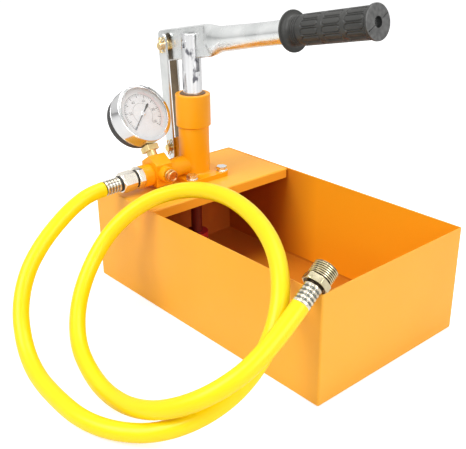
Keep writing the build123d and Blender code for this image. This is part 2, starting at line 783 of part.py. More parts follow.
# Gauge case: a pressed cup, open at the front, with a hole for the stem
with BuildPart() as gauge_case:
    with BuildSketch(gauge_plane.offset(-case_back)):
        Circle(case_radius)
    extrude(amount=case_back + window_seat)
    case_faces = gauge_case.faces().sort_by(Axis(gauge_centre, face_direction))
    fillet(case_faces[0].edges(), radius=case_edge_radius)
    offset(amount=-case_wall, openings=gauge_case.faces().sort_by(Axis(gauge_centre, face_direction))[-1])
    with BuildSketch(stem_plane.offset(stem_neck_length)):
        Circle(stem_post_radius + thread_gap)
    extrude(amount=gauge_reach - stem_neck_length, mode=Mode.SUBTRACT)
gauge_case.part.label = "gauge_case"
export_step(gauge_case.part, "parts/gauge_case.step")

# Bezel: a polished ring over the case with a lip in front of the window
bezel_radius = case_radius + bezel_wall
bezel_front = window_seat + window_thickness + bezel_lip_thickness
with BuildPart() as gauge_bezel:
    with BuildSketch(gauge_plane.offset(-bezel_back)):
        Circle(bezel_radius)
    extrude(amount=bezel_back + bezel_front)
    bezel_faces = gauge_bezel.faces().sort_by(Axis(gauge_centre, face_direction))
    fillet(bezel_faces[-1].edges(), radius=bezel_round)
    with BuildSketch(gauge_plane.offset(-bezel_back)):
        Circle(case_radius)
    extrude(amount=bezel_back + window_seat + window_thickness, mode=Mode.SUBTRACT)
    with BuildSketch(gauge_plane):
        Circle(case_radius - bezel_lip)
    extrude(amount=case_radius, mode=Mode.SUBTRACT)
    with BuildSketch(stem_plane.offset(stem_neck_length)):
        Circle(stem_post_radius + free_gap)
    extrude(amount=gauge_reach - stem_neck_length, mode=Mode.SUBTRACT)
gauge_bezel.part.label = "gauge_bezel"
export_step(gauge_bezel.part, "parts/gauge_bezel.step")

# Window: a clear disc between the case's rim and the bezel's lip
with BuildPart() as gauge_window:
    with BuildSketch(gauge_plane.offset(window_seat)):
        Circle(case_radius)
    extrude(amount=window_thickness)
gauge_window.part.label = "gauge_window"
export_step(gauge_window.part, "parts/gauge_window.step")

# Dial: a thin disc pressed into the case, with a hole for the spindle
with BuildPart() as gauge_dial:
    with BuildSketch(gauge_plane.offset(dial_face)):
        Circle(case_radius - case_wall)
        Circle(dial_hole_radius, mode=Mode.SUBTRACT)
    extrude(amount=-dial_thickness)
gauge_dial.part.label = "gauge_dial"
export_step(gauge_dial.part, "parts/gauge_dial.step")

# Movement: the block on the stem's post that carries the spindle behind the dial
with BuildPart() as gauge_movement:
    with BuildSketch(gauge_plane.offset(-movement_back)):
        RectangleRounded(movement_width, movement_height, tee_edge_radius)
        Circle(spindle_radius + running_gap, mode=Mode.SUBTRACT)
    extrude(amount=movement_back + movement_front)
gauge_movement.part.label = "gauge_movement"
export_step(gauge_movement.part, "parts/gauge_movement.step")

# Pointer: hub, tapered hand and counterweight on the spindle
needle = radians(pointer_angle)
needle_direction = dial_right * cos(needle) + stem_direction * sin(needle)
needle_plane = Plane(origin=gauge_centre, x_dir=needle_direction, z_dir=face_direction)
pointer_seat = dial_face + free_gap
with BuildPart() as gauge_pointer:
    with BuildSketch(needle_plane.offset(pointer_seat)):
        Circle(pointer_hub_radius)
        with BuildLine():
            Polyline(
                (-pointer_tail, -pointer_half_width),
                (pointer_length, 0),
                (-pointer_tail, pointer_half_width),
                close=True,
            )
        make_face()
    extrude(amount=pointer_thickness)
    with BuildSketch(gauge_plane.offset(-movement_back)):
        Circle(spindle_radius)
    extrude(amount=movement_back + pointer_seat)
gauge_pointer.part.label = "gauge_pointer"
export_step(gauge_pointer.part, "parts/gauge_pointer.step")

# Bourdon tube: three quarters of a flattened ring, brazed to the post
ring_start = radians(tube_ring_start)
tube_section = Plane(
    origin=gauge_centre,
    x_dir=dial_right * sin(ring_start) - stem_direction * cos(ring_start),
    z_dir=dial_right * cos(ring_start) + stem_direction * sin(ring_start),
)
with BuildPart() as bourdon_tube:
    with BuildSketch(tube_section):
        with Locations((tube_ring_radius, 0)):
            Rectangle(tube_ring_wall, tube_ring_depth)
    revolve(axis=Axis(gauge_centre, face_direction), revolution_arc=tube_ring_arc)
bourdon_tube.part.label = "bourdon_tube"
export_step(bourdon_tube.part, "parts/bourdon_tube.step")

# Adapter: thread into the tee, hexagon, groove and nose for the coupling nut
adapter_start = tee_reach + tee_length + outlet_length
adapter_face = adapter_start + adapter_hex_length
adapter_run = adapter_thread_length + adapter_hex_length + adapter_gap + adapter_nose
with BuildPart() as hose_adapter:
    with BuildSketch(outlet_plane.offset(adapter_start - adapter_thread_length)):
        Circle(adapter_thread_radius)
    extrude(amount=adapter_thread_length)
    with BuildSketch(outlet_plane.offset(adapter_start)):
        RegularPolygon(adapter_flats / 2, side_count=6, major_radius=False)
    extrude(amount=adapter_hex_length)
    with BuildSketch(outlet_plane.offset(adapter_face)):
        Circle(adapter_neck_radius)
    extrude(amount=adapter_gap)
    with BuildSketch(outlet_plane.offset(adapter_face + adapter_gap)):
        Circle(adapter_thread_radius)
    extrude(amount=adapter_nose)
    with BuildSketch(outlet_plane.offset(adapter_start - adapter_thread_length)):
        Circle(nipple_bore_radius)
    extrude(amount=adapter_run, mode=Mode.SUBTRACT)
hose_adapter.part.label = "hose_adapter"
export_step(hose_adapter.part, "parts/hose_adapter.step")

# Coupling nut: turned hexagon that draws the nipple onto the adapter's nose
coupling_start = adapter_face + adapter_gap
with BuildPart() as coupling_nut:
    with BuildSketch(outlet_plane.offset(coupling_start)):
        RegularPolygon(coupling_flats / 2, side_count=6, major_radius=False)
    extrude(amount=coupling_length)
    with BuildSketch(outlet_plane.offset(coupling_start)):
        Circle(coupling_flats / 2 + fitting_bevel)
    extrude(amount=coupling_length, mode=Mode.INTERSECT)
    with BuildSketch(outlet_plane.offset(coupling_start)):
        Circle(adapter_thread_radius + thread_gap)
    extrude(amount=coupling_length - coupling_lip, mode=Mode.SUBTRACT)
    with BuildSketch(outlet_plane.offset(coupling_start)):
        Circle(nipple_neck_radius + thread_gap)
    extrude(amount=coupling_length, mode=Mode.SUBTRACT)
coupling_nut.part.label = "coupling_nut"
export_step(coupling_nut.part, "parts/coupling_nut.step")

# Nipple: collar held by the nut's lip, neck, and tail inside the ferrule
nipple_start = coupling_start + adapter_nose
nipple_collar_length = coupling_length - coupling_lip - adapter_nose
ferrule_start = coupling_start + coupling_length + nipple_gap
nipple_end = ferrule_start + ferrule_length
with BuildPart() as hose_nipple:
    with BuildSketch(outlet_plane.offset(nipple_start)):
        Circle(nipple_collar_radius)
    extrude(amount=nipple_collar_length)
    with BuildSketch(outlet_plane.offset(nipple_start + nipple_collar_length)):
        Circle(nipple_neck_radius)
    extrude(amount=coupling_lip + nipple_gap)
    with BuildSketch(outlet_plane.offset(ferrule_start)):
        Circle(nipple_tail_radius)
    extrude(amount=ferrule_length)
    with BuildSketch(outlet_plane.offset(nipple_start)):
        Circle(nipple_bore_radius)
    extrude(amount=nipple_end - nipple_start, mode=Mode.SUBTRACT)
hose_nipple.part.label = "hose_nipple"
export_step(hose_nipple.part, "parts/hose_nipple.step")

# Ferrule at the pump: crimped sleeve with evenly spaced grooves
ferrule_pitch = ferrule_length / (ferrule_ribs + 1)
with BuildPart() as ferrule_pump:
    with BuildSketch(outlet_plane.offset(ferrule_start)):
        Circle(ferrule_radius)
        Circle(nipple_tail_radius, mode=Mode.SUBTRACT)
    extrude(amount=ferrule_length)
    for rib in range(ferrule_ribs):
        with BuildSketch(outlet_plane.offset(ferrule_start + (rib + 1) * ferrule_pitch)):
            Circle(ferrule_radius + cut_overrun)
            Circle(ferrule_radius - ferrule_groove_depth, mode=Mode.SUBTRACT)
        extrude(amount=ferrule_groove_width / 2, both=True, mode=Mode.SUBTRACT)
ferrule_pump.part.label = "ferrule_pump"
export_step(ferrule_pump.part, "parts/ferrule_pump.step")

# Hose: one free length lying in front of the tank, over its edge and round again
hose_course = [
    (-113.0, -140.0, 118.5),
    (-111.8, -167.5, 110.8),
    (-107.5, -192.0, 96.0),
    (-99.5, -212.0, 74.5),
    (-85.0, -227.0, 48.0),
    (-60.0, -236.0, 24.0),
    (-28.0, -241.0, 10.5),
    (10.0, -243.0, 8.5),
    (47.0, -241.0, 8.0),
    (81.0, -232.0, 8.5),
    (109.0, -214.0, 12.5),
    (130.0, -188.5, 25.0),
    (142.0, -161.0, 44.0),
    (143.9, -135.9, 71.8),
    (131.9, -112.8, 100.0),
    (104.9, -90.9, 121.8),
    (63.4, -75.2, 133.8),
    (17.1, -68.9, 137.6),
    (-27.1, -76.4, 131.9),
    (-60.9, -99.1, 112.8),
    (-78.9, -128.4, 85.6),
    (-79.2, -157.3, 56.8),
    (-62.4, -183.3, 33.0),
    (-31.9, -200.1, 15.0),
    (8.0, -207.5, 8.5),
    (48.0, -212.5, 11.5),
    (88.0, -212.0, 22.5),
    (123.0, -200.5, 39.5),
    (151.0, -175.5, 59.0),
    (161.8, -142.5, 79.0),
    (156.5, -111.8, 101.1),
]
# The course starts in line with the outlet, and moves with the pump when the tank's length changes
hose_start = (pump_x, pump_y - nipple_end, tank_height + valve_height)
hose_shift = pump_x - hose_course[0][0]
hose_points = [hose_start] + [(x + hose_shift, y, z) for x, y, z in hose_course]
route = [Vector(*point) for point in hose_points]
steps = [end - start for start, end in zip(route, route[1:])]
hose_radii = []
for before, after in zip(steps, steps[1:]):
    turn_angle = radians(before.get_angle(after))
    hose_radii.append(arc_share * min(before.length, after.length) / tan(turn_angle / 2))
with BuildPart() as hose:
    with BuildLine() as hose_route:
        FilletPolyline(*hose_points, radius=hose_radii)
    with BuildSketch(Plane(origin=route[0], z_dir=steps[0])):
        Circle(hose_radius)
    sweep()
hose.part.label = "hose"
export_step(hose.part, "parts/hose.step")
route_length = sum(edge.length for edge in hose_route.edges())
print("hose length", round(route_length, 1))
print("hose arc radii", [round(radius) for radius in hose_radii])
print("hose volume over section times length", hose.part.volume / (pi * hose_radius**2 * route_length))

# Ferrule and fitting on the free end, in line with the hose's last run
end_plane = Plane(origin=route[-1], z_dir=steps[-1])
end_pitch = end_ferrule_length / (ferrule_ribs + 1)
with BuildPart() as ferrule_end:
    with BuildSketch(end_plane):
        Circle(end_ferrule_radius)
        Circle(nipple_tail_radius, mode=Mode.SUBTRACT)
    extrude(amount=end_ferrule_length)
    for rib in range(ferrule_ribs):
        with BuildSketch(end_plane.offset((rib + 1) * end_pitch)):
            Circle(end_ferrule_radius + cut_overrun)
            Circle(end_ferrule_radius - ferrule_groove_depth, mode=Mode.SUBTRACT)
        extrude(amount=ferrule_groove_width / 2, both=True, mode=Mode.SUBTRACT)
ferrule_end.part.label = "ferrule_end"
export_step(ferrule_end.part, "parts/ferrule_end.step")

# End fitting: tail in the ferrule, neck, hexagon, relief and male pipe thread
end_hex_start = end_ferrule_length + end_neck_length
end_thread_start = end_hex_start + end_hex_length
end_total = end_thread_start + end_thread_length
with BuildPart() as end_fitting:
    with BuildSketch(end_plane):
        Circle(nipple_tail_radius)
    extrude(amount=end_ferrule_length)
    with BuildSketch(end_plane.offset(end_ferrule_length)):
        Circle(end_neck_radius)
    extrude(amount=end_neck_length)
    with BuildSketch(end_plane.offset(end_hex_start)):
        RegularPolygon(end_hex_flats / 2, side_count=6, major_radius=False)
    extrude(amount=end_hex_length)
    with BuildSketch(end_plane.offset(end_thread_start)):
        Circle(end_relief_radius)
    extrude(amount=end_relief_length)
    with BuildSketch(end_plane.offset(end_thread_start + end_relief_length)):
        Circle(end_thread_radius)
    extrude(amount=end_thread_length - end_relief_length)
    thread_faces = end_fitting.faces().sort_by(Axis(route[-1], steps[-1]))
    chamfer(thread_faces[-1].edges(), length=end_lead)
    with BuildSketch(end_plane):
        Circle(nipple_bore_radius)
    extrude(amount=end_total, mode=Mode.SUBTRACT)
    with BuildSketch(end_plane.offset(end_hex_start)):
        Circle(end_bore_radius)
    extrude(amount=end_total, mode=Mode.SUBTRACT)
end_fitting.part.label = "end_fitting"
export_step(end_fitting.part, "parts/end_fitting.step")

# Suction nipple: thread into the spigot, hexagon, and barb inside the pipe
suction_top = tank_height - spigot_length
suction_hex_foot = suction_top - suction_hex_length
suction_axis = Plane(origin=(pump_x, pump_y, 0))
with BuildPart() as suction_nipple:
    with BuildSketch(suction_axis.offset(suction_top)):
        Circle(suction_thread_radius)
    extrude(amount=suction_thread_length)
    with BuildSketch(suction_axis.offset(suction_top)):
        RegularPolygon(suction_flats / 2, side_count=6, major_radius=False)
    extrude(amount=-suction_hex_length)
    with BuildSketch(suction_axis.offset(suction_hex_foot)):
        Circle(suction_barb_radius)
    extrude(amount=-suction_hex_length)
    with BuildSketch(suction_axis.offset(suction_top + suction_thread_length)):
        Circle(suction_bore_radius)
    extrude(amount=-suction_top, mode=Mode.SUBTRACT)
suction_nipple.part.label = "suction_nipple"
export_step(suction_nipple.part, "parts/suction_nipple.step")

# Suction pipe from the nipple down into the strainer
with BuildPart() as suction_pipe:
    with BuildSketch(suction_axis.offset(suction_hex_foot)):
        Circle(pipe_radius)
        Circle(pipe_bore_radius, mode=Mode.SUBTRACT)
    extrude(amount=pipe_foot - suction_hex_foot)
suction_pipe.part.label = "suction_pipe"
export_step(suction_pipe.part, "parts/suction_pipe.step")

# Strainer: a slotted cup that hangs just above the tank's bottom
with BuildPart() as suction_strainer:
    with BuildSketch(suction_axis.offset(strainer_foot)):
        Circle(strainer_radius)
    extrude(amount=strainer_top - strainer_foot)
    with BuildSketch(suction_axis.offset(strainer_foot + strainer_wall)):
        Circle(strainer_radius - strainer_wall)
    extrude(amount=strainer_top - strainer_foot - 2 * strainer_wall, mode=Mode.SUBTRACT)
    with BuildSketch(suction_axis.offset(strainer_top)):
        Circle(pipe_radius)
    extrude(amount=-2 * strainer_wall, mode=Mode.SUBTRACT)
    with BuildSketch(suction_axis.offset(strainer_foot + strainer_band)):
        with PolarLocations(strainer_radius, strainer_slots):
            Rectangle(2 * strainer_wall + cut_overrun, strainer_slot_width)
    extrude(amount=strainer_top - strainer_foot - 2 * strainer_band, mode=Mode.SUBTRACT)
suction_strainer.part.label = "suction_strainer"
export_step(suction_strainer.part, "parts/suction_strainer.step")
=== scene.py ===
"""Hydrostatic test pump: an orange lever pump on an open sheet-metal tank, with a yellow hose."""

import json
from math import cos, pi, radians, sin

import bmesh
import bpy
import numpy as np
from mathutils import Matrix, Vector

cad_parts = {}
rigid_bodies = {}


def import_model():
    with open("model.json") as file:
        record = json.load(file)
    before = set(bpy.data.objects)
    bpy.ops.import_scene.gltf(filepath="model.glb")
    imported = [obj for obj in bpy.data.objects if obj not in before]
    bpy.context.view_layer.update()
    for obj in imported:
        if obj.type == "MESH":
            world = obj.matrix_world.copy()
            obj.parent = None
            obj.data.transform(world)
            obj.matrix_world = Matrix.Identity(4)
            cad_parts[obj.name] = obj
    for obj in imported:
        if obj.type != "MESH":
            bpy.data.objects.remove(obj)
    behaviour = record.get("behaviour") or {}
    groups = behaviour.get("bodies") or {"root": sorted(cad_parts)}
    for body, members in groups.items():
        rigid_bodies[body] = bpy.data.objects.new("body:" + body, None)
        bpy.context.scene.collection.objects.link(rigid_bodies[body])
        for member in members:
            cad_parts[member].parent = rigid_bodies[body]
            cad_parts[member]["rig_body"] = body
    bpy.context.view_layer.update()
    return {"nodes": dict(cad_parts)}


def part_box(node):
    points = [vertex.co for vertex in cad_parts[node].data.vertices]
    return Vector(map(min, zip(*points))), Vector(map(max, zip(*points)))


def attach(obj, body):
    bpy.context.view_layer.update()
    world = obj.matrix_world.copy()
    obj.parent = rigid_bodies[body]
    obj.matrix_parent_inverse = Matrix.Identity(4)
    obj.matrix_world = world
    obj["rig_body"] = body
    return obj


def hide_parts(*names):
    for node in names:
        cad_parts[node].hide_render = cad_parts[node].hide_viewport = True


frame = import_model()


# Camera: a long lens from the hose side and the open end of the tank, a little above it,
# turned by 0.6 degrees about its own axis as the photograph is.
def placed(name, data):
    """A new object of that data in the scene, at the origin, unturned and unscaled."""
    thing = bpy.data.objects.new(name, data)
    bpy.context.scene.collection.objects.link(thing)
    return thing


camera_place = (0.4952, -0.4740, 0.3847)
azimuth, elevation, roll = radians(48.89), radians(23.78), radians(-0.62)
view_way = np.array(
    (-sin(azimuth) * cos(elevation), cos(azimuth) * cos(elevation), -sin(elevation))
)
level = np.array((cos(azimuth), sin(azimuth), 0.0))
upright = np.cross(level, view_way)
picture_right = level * cos(roll) + upright * sin(roll)
picture_up = upright * cos(roll) - level * sin(roll)
lens = bpy.data.cameras.new("camera")
lens.sensor_width = 36.0
lens.lens = 58.78
lens.clip_start = 0.01
camera = placed("camera", lens)
camera.matrix_world = Matrix(
    [
        [*row, place]
        for row, place in zip(np.stack((picture_right, picture_up, -view_way), 1), camera_place)
    ]
    + [[0, 0, 0, 1]]
)
bpy.context.scene.camera = camera
bpy.context.scene.view_settings.view_transform = "Standard"


# Hose: 15 mm pressure hose with a smooth yellow cover, one free length of 1.18 m.
# It runs from the pump's ferrule down to the floor, over the tank's edge and round again.
MM = 0.001
hose_points = [
    (-113.0, -111.3, 116.9),
    (-113.0, -125.0, 116.3),
    (-112.0, -143.5, 110.0),
    (-109.0, -164.0, 99.5),
    (-104.0, -187.0, 85.0),
    (-95.5, -209.5, 66.0),
    (-80.0, -227.5, 41.5),
    (-54.0, -239.0, 19.5),
    (-21.0, -246.0, 9.0),
    (18.0, -248.5, 8.0),
    (54.5, -247.5, 8.0),
    (86.0, -236.5, 9.0),
    (114.0, -217.0, 14.0),
    (135.5, -191.0, 27.5),
    (146.5, -162.0, 46.0),
    (148.5, -135.0, 73.5),
    (136.5, -112.0, 101.0),
    (108.5, -90.5, 122.5),
    (66.0, -74.5, 134.5),
    (18.5, -68.0, 139.0),
    (-26.5, -76.0, 133.5),
    (-61.5, -98.5, 116.5),
    (-79.5, -126.5, 90.0),
    (-78.0, -154.5, 60.0),
    (-60.5, -180.5, 35.0),
    (-30.5, -200.0, 16.0),
    (8.5, -210.5, 8.5),
    (47.0, -217.0, 11.0),
    (87.0, -219.0, 21.5),
    (122.0, -211.0, 36.5),
    (149.5, -189.0, 56.0),
    (161.0, -153.5, 76.5),
    (156.5, -113.0, 101.0),
]


class Tint:
    """A value in a material; an expression on it adds the Math nodes that work it out."""

    def __init__(self, finish, socket):
        self.finish = finish
        self.socket = socket

    def worked(self, operation, *others):
        """The Math operation of that name on this value and the others."""
        return self.finish.node("Math", {"operation": operation}, self, *others)

    def __add__(self, other):
        return self.worked("ADD", other)

    def __sub__(self, other):
        return self.worked("SUBTRACT", other)

    def __rsub__(self, other):
        return self.finish.node("Math", {"operation": "SUBTRACT"}, other, self)

    def __mul__(self, other):
        return self.worked("MULTIPLY", other)

    def __truediv__(self, other):
        return self.worked("DIVIDE", other)

    def __pow__(self, other):
        return self.worked("POWER", other)

    def __abs__(self):
        return self.worked("ABSOLUTE")

    def __gt__(self, other):
        return self.worked("GREATER_THAN", other)

    def __lt__(self, other):
        return self.worked("LESS_THAN", other)

    __radd__ = __add__
    __rmul__ = __mul__


class Finish:
    """A finish of the pump: one material, its shader's plain values, and a way to add nodes."""

    def __init__(self, name, **plain):
        self.material = bpy.data.materials.new(name)
        self.material.use_nodes = True
        self.tree = self.material.node_tree
        self.shader = self.tree.nodes["Principled BSDF"]
        for label, value in plain.items():
            self.shader.inputs[label.replace("_", " ")].default_value = value
        self.place = self.node("TexCoord", out="Object")

    def node(self, kind, settings=None, *values, at=None, out=0, **named):
        """Any node: its settings first, then the values or links of its sockets.

        The sockets are given in their order, by number in at, or by name.
        """
        new = self.tree.nodes.new("ShaderNode" + kind)
        for key, value in (settings or {}).items():
            if key == "stops":
                ramp = new.color_ramp
                while len(ramp.elements) < len(value):
                    ramp.elements.new(0.5)
                for element, (position, colour) in zip(ramp.elements, value):
                    element.position = position
                    element.color = (*colour, 1.0)
            else:
                setattr(new, key, value)
        sockets = {**dict(enumerate(values)), **(at or {})}
        sockets.update({label.replace("_", " "): value for label, value in named.items()})
        for key, value in sockets.items():
            if isinstance(value, Tint):
                self.tree.links.new(value.socket, new.inputs[key])
            else:
                new.inputs[key].default_value = value
        return Tint(self, new.outputs[out])

    def noise(self, scale, detail=2.0, stretch=(1.0, 1.0, 1.0)):
        """Noise with features of about 1/scale metres, pulled long where stretch is small."""
        moved = self.node("VectorMath", {"operation": "MULTIPLY"}, self.place, stretch)
        return self.node("TexNoise", {}, Vector=moved, Scale=scale, Detail=detail)

    def ramp(self, value, *stops):
        """The value looked up between the stops, each a place from 0 to 1 and a colour."""
        return self.node("ValToRGB", {"stops": stops}, value)

    def between(self, mask, first, second):
        """The first colour where the mask is 0 or less and the second where it is 1 or more."""
        first, second = (
            colour if isinstance(colour, Tint) else (*colour, 1.0) for colour in (first, second)
        )
        factor, under, over, mixed = 0, 6, 7, 2
        sockets = {factor: mask, under: first, over: second}
        return self.node("Mix", {"data_type": "RGBA"}, at=sockets, out=mixed)

    def spread(self, value, low, high):
        """The value from 0 to 1 spread evenly from low to high."""
        return value * (high - low) + low

    def feed(self, label, value):
        """Links the value to the shader's socket of that name."""
        self.tree.links.new(value.socket, self.shader.inputs[label])

    def colour(self, value, *stops):
        """The base colour, looked up from the value at the stops."""
        self.feed("Base Color", self.ramp(value, *stops))

    def rough(self, value, low, high):
        """The roughness, from low to high with the value."""
        self.feed("Roughness", self.spread(value, low, high))

    def bump(self, height, depth, strength=1.0):
        """The height, from 0 to 1, raised by depth mm as relief on the surface."""
        self.feed("Normal", self.node("Bump", {}, strength, depth * MM, Height=height))


hose_cover = Finish("hose_cover", Specular_IOR_Level=0.32)
cloud = hose_cover.noise(9.0, 3.0)
streak = hose_cover.noise(260.0)
hose_cover.colour(cloud, (0.3, (0.90, 0.64, 0.002)), (0.7, (0.95, 0.72, 0.006)))
hose_cover.rough(streak, 0.26, 0.42)
hose_cover.bump(streak, 0.06, 0.5)

hose_line = bpy.data.curves.new("hose_line", "CURVE")
hose_line.dimensions = "3D"
spline = hose_line.splines.new("NURBS")
spline.points.add(len(hose_points) - 1)
hose_places = np.array(hose_points) * MM
spline.points.foreach_set("co", np.c_[hose_places, np.ones(len(hose_places))].ravel())
spline.order_u = 3
spline.use_endpoint_u = True
spline.resolution_u = 8
hose_line.bevel_depth = 7.5 * MM
hose_line.bevel_resolution = 9
hose_line.use_fill_caps = True
hose_line.materials.append(hose_cover.material)
hose_piece = placed("pressure_hose", hose_line)
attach(hose_piece, "pump")
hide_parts("hose")


# Floor and light: a plain pale floor, a bright even room and three large soft lamps.
# Camera rays see the room as white; mirrors see it white above and greyer towards the floor.
def lamp(name, place, size, power):
    """A square soft lamp of that size in metres at place, aimed at the pump's middle."""
    light = bpy.data.lights.new(name, "AREA")
    light.shape = "SQUARE"
    light.size = size
    light.energy = power
    holder = placed(name, light)
    aim = Vector((0, 0, 0.1)) - Vector(place)
    holder.location = place
    holder.rotation_euler = aim.to_track_quat("-Z", "Y").to_euler()


lamp("key_lamp", (-0.3, -1.5, 1.7), 1.3, 32.0)
lamp("side_lamp", (1.7, -0.1, 1.0), 1.2, 17.0)
lamp("top_lamp", (0.0, 0.5, 1.9), 1.2, 14.0)


def grey(depth):
    """A plain grey: 0 is black and 1 is white."""
    return (depth, depth, depth)


class Room(Finish):
    """The world's own nodes, with the same way to add to them."""

    def __init__(self, tree):
        self.tree = tree
        self.shader = tree.nodes["Background"]


world = bpy.data.worlds.new("studio")
bpy.context.scene.world = world
world.use_nodes = True
room = Room(world.node_tree)
up_the_room = room.node("SeparateXYZ", {}, room.node("TexCoord", out="Generated"), out=2)
mirrored = room.ramp(
    room.spread(up_the_room, 0.5, 1.0), (0.42, grey(0.62)), (0.58, grey(0.84)), (0.85, grey(1.0))
)
plain_room = room.between(room.node("LightPath", out="Is Glossy Ray"), grey(0.44), mirrored)
seen_directly = room.node("LightPath", out="Is Camera Ray").worked(
    "MAXIMUM", room.node("LightPath", out="Is Transmission Ray")
)
room.feed("Color", room.between(seen_directly, plain_room, grey(1.0)))

floor_mesh = bpy.data.meshes.new("floor")
reach, drop = 14.0, -0.0004
floor_mesh.from_pydata(
    [(-reach, -reach, drop), (reach, -reach, drop), (reach, reach, drop), (-reach, reach, drop)],
    [],
    [(0, 1, 2, 3)],
)
floor_finish = Finish(
    "floor_paper",
    Base_Color=(*grey(0.80), 1.0),
    Roughness=0.9,
    Specular_IOR_Level=0.0,
    Emission_Strength=1.0,
)
floor_seen = floor_finish.node("LightPath", out="Is Camera Ray")
floor_finish.feed("Emission Color", floor_finish.between(floor_seen, grey(0.0), grey(0.55)))
floor_mesh.materials.append(floor_finish.material)
placed("floor", floor_mesh)


# Tank and deck: folded 1.2 mm sheet in an orange powder coat, with a faint orange-peel skin.
# The deck is a bent plate seated between the walls at the pump end.
def dressed(node, finish, broken):
    """A copy of a CAD piece, its loose triangles joined and its flats made whole again.

    A bevel breaks its sharp edges by that many mm; with 0 they stay sharp.
    """
    source = frame["nodes"][node]
    mesh = source.data.copy()
    mesh.materials.clear()
    work = bmesh.new()
    work.from_mesh(mesh)
    bmesh.ops.remove_doubles(work, verts=work.verts, dist=2e-6)
    bmesh.ops.dissolve_limit(work, angle_limit=radians(0.6), verts=work.verts, edges=work.edges)
    work.to_mesh(mesh)
    work.free()
    mesh.polygons.foreach_set("use_smooth", np.ones(len(mesh.polygons), bool))
    mesh.materials.append(finish.material)
    piece = placed(node + "_finished", mesh)
    if broken:
        edges = piece.modifiers.new("broken_edges", "BEVEL")
        edges.width = broken * MM
        edges.segments = 2
        edges.limit_method = "ANGLE"
        edges.angle_limit = radians(38)
        edges.use_clamp_overlap = True
    even = piece.modifiers.new("even_light", "WEIGHTED_NORMAL")
    even.keep_sharp = True
    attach(piece, source["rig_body"])
    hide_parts(node)
    return piece


def powder_coat(name):
    """The orange powder coat with its fine orange-peel skin, and its colour and roughness."""
    coat = Finish(name, Specular_IOR_Level=0.4)
    peel = coat.noise(620.0)
    coat.bump(peel, 0.08, 0.35)
    orange = coat.ramp(
        coat.noise(7.0, 3.0), (0.25, (0.90, 0.392, 0.022)), (0.75, (0.95, 0.445, 0.034))
    )
    return coat, orange, coat.spread(peel, 0.34, 0.50)


deck_coat, deck_orange, deck_satin = powder_coat("deck_powder_coat")
deck_coat.feed("Base Color", deck_orange)
deck_coat.feed("Roughness", deck_satin)
dressed("deck_plate", deck_coat, 0.25)

# Inside, the coat is painted a deeper orange as painted bounce light from the walls lighting each
# other, and it is duller.
# The floor is painted brown as painted shade, and darker still around the suction under the deck,
# as painted shade there.
tank_coat, tank_orange, tank_satin = powder_coat("tank_powder_coat")
low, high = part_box("tank_shell")
tank_x, tank_y, tank_z = (
    tank_coat.node("SeparateXYZ", {}, tank_coat.place, out=axis) for axis in range(3)
)
skin_depth = 0.9 * MM
inside = (tank_z > low[2] + skin_depth) * (tank_z < high[2] - skin_depth)
inside = inside * (tank_x < high[0] - skin_depth) * (tank_x > low[0] + skin_depth)
inside = inside * (tank_y < high[1] - skin_depth) * (tank_y > low[1] + skin_depth)
# Painted shade: the floor brown and the end under the deck darker, mottled by noise.
shade_past_deck, shade_fade = 45.0 * MM, 75.0 * MM
painted_shade_under_deck = (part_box("deck_plate")[1][0] + shade_past_deck - tank_x) / shade_fade
painted_shade_under_deck = painted_shade_under_deck.worked("MAXIMUM", 0.0).worked("MINIMUM", 1.0)
floor_painted_shade = (tank_z < low[2] + 4.0 * MM) * 0.66
shade_mottle = tank_coat.noise(28.0, 4.0)
painted_shade_mask = inside * painted_shade_under_deck.worked("MAXIMUM", floor_painted_shade) * tank_coat.spread(shade_mottle, 0.8, 1.15)
painted_shade_brown = tank_coat.ramp(shade_mottle, (0.3, (0.34, 0.060, 0.001)), (0.7, (0.46, 0.105, 0.002)))
# Painted bounce light: a deeper orange over the whole inside.
coat_with_painted_inner_light = tank_coat.between(inside, tank_orange, (1.0, 0.41, 0.001))
tank_coat.feed("Base Color", tank_coat.between(painted_shade_mask, coat_with_painted_inner_light, painted_shade_brown))
tank_coat.feed("Roughness", tank_satin + inside * 0.3)
dressed("tank_shell", tank_coat, 0.25)


# Pump body and valve tee: one iron casting and one forged block under glossy orange paint.
# The paint rounds the casting's edges and shows its low, soft grain.
casting_coat = Finish(
    "casting_paint", Specular_IOR_Level=0.24, Coat_Weight=0.08, Coat_Roughness=0.12
)
sand_grain = casting_coat.noise(170.0, 3.0)
casting_coat.colour(
    casting_coat.noise(16.0), (0.25, (0.87, 0.345, 0.002)), (0.75, (0.93, 0.395, 0.005))
)
casting_coat.rough(sand_grain, 0.26, 0.42)
casting_coat.bump(sand_grain, 0.3, 0.35)
dressed("pump_body", casting_coat, 0.5)
dressed("valve_tee", casting_coat, 0.5)


# Plunger, links and pins: a ground and chromed rod, zinc-plated straps, and pins in yellow zinc.
# The plating shows fine grinding lines along the rod and soft blooms on the rest.
chrome = Finish("ground_chrome", Metallic=1.0)
lines = chrome.noise(420.0, 3.0, (1.0, 1.0, 0.03))
painted_reflection_patches = chrome.noise(150.0, 4.0, (1.0, 1.0, 0.45))
ground = chrome.ramp(lines, (0.3, (0.66, 0.66, 0.67)), (0.7, grey(0.86)))
